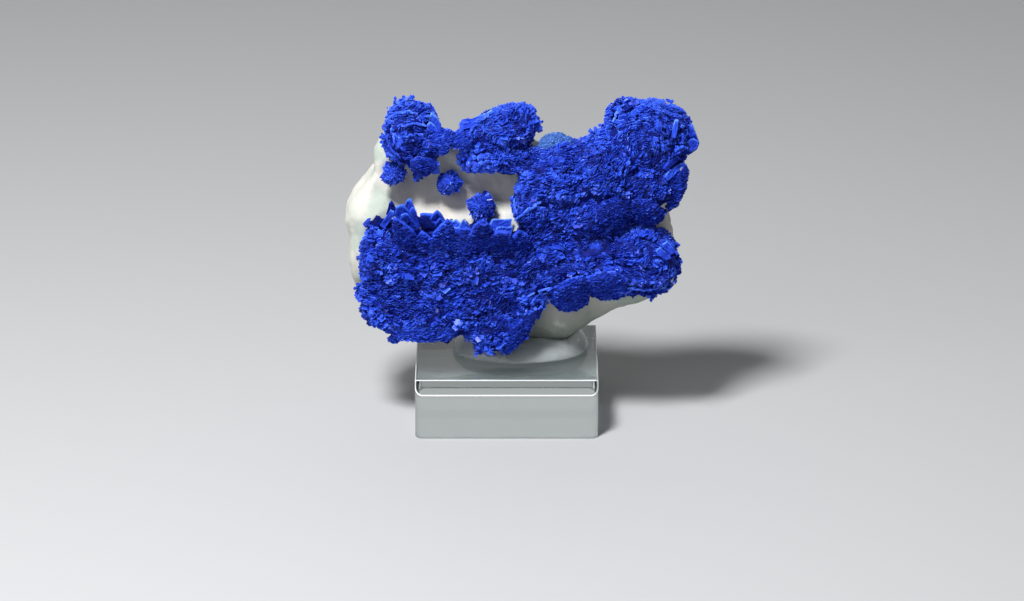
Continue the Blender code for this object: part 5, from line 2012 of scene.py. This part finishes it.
@dataclass
class PaleDome:
    """The rounded, paler mass at the foot of the notch between the peaks."""

    finish: bpy.types.Material
    name: str = "pale_dome_plates"
    lean: float = 1.1
    seed: int = 12
    domes: tuple[Leaf, ...] = (
        Leaf(-5.8, 0.0, 0.40, 1.6, 0.40, (
            (6.9, 62.4), (7.7, 64.0), (8.9, 64.8), (10.6, 65.1), (12.4, 64.8), (13.8, 64.0), (14.8, 62.6),
            (12.4, 61.2), (9.3, 61.0), (7.6, 61.4),
        ), 0.7, 0.14),
        Leaf(-6.8, 0.1, 0.45, 1.6, 0.30, (
            (7.2, 61.6), (8.4, 63.0), (10.0, 63.5), (12.0, 63.2), (13.2, 62.0), (11.6, 60.6), (8.6, 60.4),
        ), 0.6, 0.12),
    )

    def build(self) -> bpy.types.Object:
        """Builds and dresses the domes.

        Returns:
            The piece.
        """
        rng = np.random.default_rng(self.seed)
        mesh = CrystalMesh(rng)
        for dome in self.domes:
            dome.layer(mesh, rng)
            dome.cover(mesh, rng, self.lean)
        piece = mesh.write(self.name)
        dress(piece, Slot.AZURITE, self.finish)
        return piece


@dataclass
class ClaySlab:
    """The slab of white clay, with fine relief and a blue tinge where it meets the crusts."""

    node: str = "clay_matrix"
    name: str = "clay_slab"
    reach: float = 1.6 * MM
    reskin: Reskin = Reskin(
        voxel=0.5 * MM,
        smooth_steps=10,
        sink=0.0,
        waves=((7.0 * MM, 0.7 * MM), (2.2 * MM, 0.28 * MM), (0.9 * MM, 0.10 * MM)),
    )

    def build(self) -> bpy.types.Object:
        """Builds the slab's mesh.

        Returns:
            The slab.
        """
        slab = self.reskin.build(self.node, self.name)
        slab.data.shade_smooth()
        return slab

    def finish(self, slab: bpy.types.Object, crusts: list[str]) -> None:
        """Marks the clay near the crusts, and dresses the slab.

        Args:
            slab: the slab.
            crusts: nodes of azurite.
        """
        places = points_of(slab.data)
        near = np.full(len(places), np.inf)
        for node in crusts:
            near = np.minimum(near, np.abs(clearance(surface_tree(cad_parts[node]), places)))
        tinge = slab.data.attributes.new("near_blue", "FLOAT", "POINT")
        tinge.data.foreach_set("value", np.clip(1.0 - near / self.reach, 0.0, 1.0).astype(np.float32))
        dress(slab, Slot.CLAY, ClayFinish().material())
        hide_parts(self.node)


@dataclass
class ClearBlock:
    """The clear block: sawn bevels front and back, rounded upright corners, ground edges."""

    node: str = "acrylic_block"
    name: str = "clear_block"
    bevel: float = 2.6 * MM
    corner_radius: float = 1.6 * MM
    edge_radius: float = 0.16 * MM
    ground_width: float = 0.17 * MM

    def build(self) -> bpy.types.Object:
        """Builds and dresses the block.

        Returns:
            The block.
        """
        low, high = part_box(self.node)
        size = high - low
        bm = bmesh.new()
        middle = Matrix.Translation((low + high) / 2.0)
        bmesh.ops.create_cube(bm, size=1.0, matrix=middle @ Matrix.Diagonal((*size, 1.0)))
        upright = [edge for edge in bm.edges if abs(edge.verts[0].co.z - edge.verts[1].co.z) > size.z / 2.0]
        bmesh.ops.bevel(bm, geom=upright, offset=self.corner_radius, segments=12, profile=0.5, affect="EDGES")
        level = [edge for edge in bm.edges if abs(edge.verts[0].co.z - edge.verts[1].co.z) < self.edge_radius]
        rim = [edge for edge in level if edge.is_manifold and edge.calc_face_angle(0.0) > 1.0]
        bmesh.ops.bevel(
            bm, geom=rim, offset=self.edge_radius, segments=1, profile=0.5, affect="EDGES", material=1,
        )
        for side, y in ((-1.0, low.y), (1.0, high.y)):
            self.saw(bm, side, Vector((0.0, y, high.z)))
        bm.normal_update()
        mesh = bpy.data.meshes.new(self.name)
        bm.to_mesh(mesh)
        bm.free()
        mesh.shade_smooth()
        mesh.set_sharp_from_angle(angle=math.radians(10.0))
        block = add_object(self.name, mesh)
        finish = AcrylicFinish()
        dress(block, Slot.ACRYLIC, finish.material(ground=False), finish.material(ground=True))
        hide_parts(self.node)
        return block

    def saw(self, bm: bmesh.types.BMesh, side: float, corner: Vector) -> None:
        """Saws the bevel of one side, and grinds the edges that the saw left.

        Args:
            bm: the block.
            side: the side along Y, -1 or 1.
            corner: a point on the sharp edge that the bevel takes off.
        """
        outward = Vector((0.0, side, 1.0)).normalized()
        point = corner - Vector((0.0, side, 0.0)) * self.bevel
        whole = bm.verts[:] + bm.edges[:] + bm.faces[:]
        cut = bmesh.ops.bisect_plane(bm, geom=whole, plane_co=point, plane_no=outward, clear_outer=True)
        rim = [item for item in cut["geom_cut"] if isinstance(item, bmesh.types.BMEdge)]
        face = bmesh.ops.contextual_create(bm, geom=rim)["faces"][0]
        edges = list(face.edges)
        strips = bmesh.ops.bevel(
            bm, geom=edges, offset=self.ground_width, segments=1, profile=0.5, affect="EDGES", material=1,
        )
        for strip in strips["faces"]:
            strip.material_index = 1


@dataclass
class GelMound:
    """The milky gel that holds the specimen, with a few small bubbles in its skin."""

    node: str = "mounting_gel"
    name: str = "gel_mound"
    bubbles: int = 16
    bubble_radius: Span = (0.12, 0.28)
    seed: int = 8
    reskin: Reskin = Reskin(voxel=0.42 * MM, smooth_steps=16, sink=0.0, waves=((6.0 * MM, 0.30 * MM),))

    def build(self) -> bpy.types.Object:
        """Builds and dresses the mound.

        Returns:
            The mound.
        """
        gel = self.reskin.build(self.node, self.name)
        rng = np.random.default_rng(self.seed)
        skin = Skin.of(gel, 1, rng)
        skin = skin.where(skin.normals[:, 2] > 0.3)
        chosen = rng.permutation(len(skin.places))[: self.bubbles]
        bm = bmesh.new()
        bm.from_mesh(gel.data)
        for index in chosen:
            radius = rng.uniform(*self.bubble_radius) * MM
            centre = Vector(skin.places[index]) + Vector(skin.normals[index]) * radius * 0.3
            bmesh.ops.create_icosphere(bm, subdivisions=2, radius=radius, matrix=Matrix.Translation(centre))
        bm.to_mesh(gel.data)
        bm.free()
        gel.data.shade_smooth()
        dress(gel, Slot.GEL, GelFinish().material())
        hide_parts(self.node)
        return gel


@dataclass
class Studio:
    """Pale floor, soft light and the camera at the photograph's angle."""

    aim: Row = (1.17 * MM, 0.0, 24.87 * MM)
    distance: float = 1.103
    elevation: float = 20.0
    lens: float = 175.8
    sensor: float = 36.0
    floor_side: float = 3.0
    floor_drop: float = 0.02 * MM
    sky: float = 0.10
    backdrop: float = 0.50
    lamps: tuple[tuple[str, Row, float, float], ...] = (
        ("key_light", (-0.18, -0.31, 0.61), 0.14, 6.4),
        ("fill_light", (-0.45, -0.60, 0.38), 0.60, 1.5),
    )

    def build(self) -> None:
        """Builds the floor, the lights and the camera."""
        self.lay_floor()
        for lamp in self.lamps:
            self.light(*lamp)
        self.paint_sky()
        bpy.context.scene.view_settings.view_transform = "Standard"
        self.set_camera()

    def paint_sky(self) -> None:
        """Gives the world a soft grey that is brighter behind the specimen."""
        world = bpy.data.worlds.new("soft_sky")
        world.use_nodes = True
        tree = world.node_tree
        background = tree.nodes["Background"]
        background.inputs["Color"].default_value = (1.0, 1.0, 1.0, 1.0)
        place = tree.nodes.new("ShaderNodeTexCoord")
        parts = tree.nodes.new("ShaderNodeSeparateXYZ")
        glow = tree.nodes.new("ShaderNodeMapRange")
        glow.inputs["From Min"].default_value = 0.2
        glow.inputs["To Min"].default_value = self.sky
        glow.inputs["To Max"].default_value = self.backdrop
        tree.links.new(place.outputs["Generated"], parts.inputs["Vector"])
        tree.links.new(parts.outputs["Y"], glow.inputs["Value"])
        tree.links.new(glow.outputs["Result"], background.inputs["Strength"])
        bpy.context.scene.world = world

    def lay_floor(self) -> None:
        """Lays the floor."""
        bm = bmesh.new()
        bmesh.ops.create_grid(bm, x_segments=1, y_segments=1, size=self.floor_side / 2.0)
        mesh = bpy.data.meshes.new("floor")
        bm.to_mesh(mesh)
        bm.free()
        floor = add_object("floor", mesh)
        floor.location.z = -self.floor_drop
        mesh.materials.append(FloorFinish().material())

    def light(self, name: str, place: Row, side: float, power: float) -> None:
        """Adds a soft square light that looks at the specimen.

        Args:
            name: the light's name.
            place: where it is.
            side: the length of its side.
            power: its power in watts.
        """
        lamp = bpy.data.lights.new(name, "AREA")
        lamp.size = side
        lamp.energy = power
        obj = add_object(name, lamp)
        obj.location = place
        towards = Vector(self.aim) - Vector(place)
        obj.rotation_euler = towards.to_track_quat("-Z", "Y").to_euler()
        obj.visible_transmission = False

    def set_camera(self) -> None:
        """Sets the camera at the photograph's angle."""
        data = bpy.data.cameras.new("camera")
        data.lens = self.lens
        data.sensor_width = self.sensor
        camera = add_object("camera", data)
        raised = math.radians(self.elevation)
        back = Vector((0.0, -math.cos(raised), math.sin(raised)))
        camera.location = Vector(self.aim) + back * self.distance
        camera.rotation_euler = (-back).to_track_quat("-Z", "Y").to_euler()
        bpy.context.scene.camera = camera


def rosettes(blades: bpy.types.Material, bed: bpy.types.Material) -> tuple[Rosette, ...]:
    """Lists the three small rosettes, of which the right one grew into the main crust.

    Args:
        blades: the finish of the petals.
        bed: the finish of the skins.

    Returns:
        The rosettes.
    """
    left, middle = "azurite_rosette_left", "azurite_rosette_middle"
    axis = (0.0, -0.95, 0.3)
    return (
        Rosette("rosette_left", (-24.6, -4.9, 56.2), axis, ROUND_RINGS, blades, left, bed, seed=3),
        Rosette("rosette_middle", (-12.6, -4.4, 53.6), axis, STAR_RINGS, blades, middle, bed, seed=4),
        Rosette("rosette_right", (-5.7, -6.6, 48.8), (0.05, -0.95, 0.35), ROUND_RINGS, blades, seed=9),
    )


def main() -> None:
    """Builds the pieces in order, from the block up, and reports them."""
    logging.basicConfig(level=logging.INFO, format="%(name)s %(message)s")
    Studio().build()
    pieces = [ClearBlock().build(), GelMound().build()]
    clay_slab = ClaySlab()
    clay = clay_slab.build()
    pieces.append(clay)
    blades = BladeFinish().material()
    bed = BedFinish().material()
    shared = {
        "clay": surface_tree(clay),
        "blade_finish": blades,
        "leaf_finish": LEAF_BLADES.material(),
        "bed_finish": bed,
    }
    crust = AzuriteMass(
        node="azurite_crust",
        bed_name="crust_bed",
        regions=CRUST_REGIONS,
        rims=RimField(CRUST_FLOWS, CRUST_FANS),
        ridges=CRUST_RIDGES,
        placed=EDGE_PLATES,
        leaves=CRUST_LEAVES,
        shoulders=CRUST_SHOULDERS,
        plates_name="crust_plates",
        leaves_name="crust_leaves",
        **shared,
    )
    upper_left = AzuriteMass(
        node="azurite_upper_left",
        bed_name="upper_left_bed",
        regions=UPPER_LEFT_REGIONS,
        rims=RimField(UPPER_LEFT_FLOWS, UPPER_LEFT_FANS),
        ridges=UPPER_LEFT_RIDGES,
        placed=UPPER_LEFT_PLATES,
        leaves=UPPER_LEFT_LEAVES,
        shoulders=UPPER_LEFT_SHOULDERS,
        plates_name="upper_left_plates",
        leaves_name="upper_left_leaves",
        seed=6,
        **shared,
    )
    parts = (crust, upper_left, *rosettes(blades, bed))
    for part in parts:
        pieces.extend(part.build())
    pieces.append(PaleDome(PALE_BLADES.material()).build())
    nodes = [part.node for part in parts if part.node]
    clay_slab.finish(clay, nodes)
    for piece in pieces:
        LOG.info("%s: %d faces", piece.name, len(piece.data.polygons))


if __name__ == "__main__":
    main()
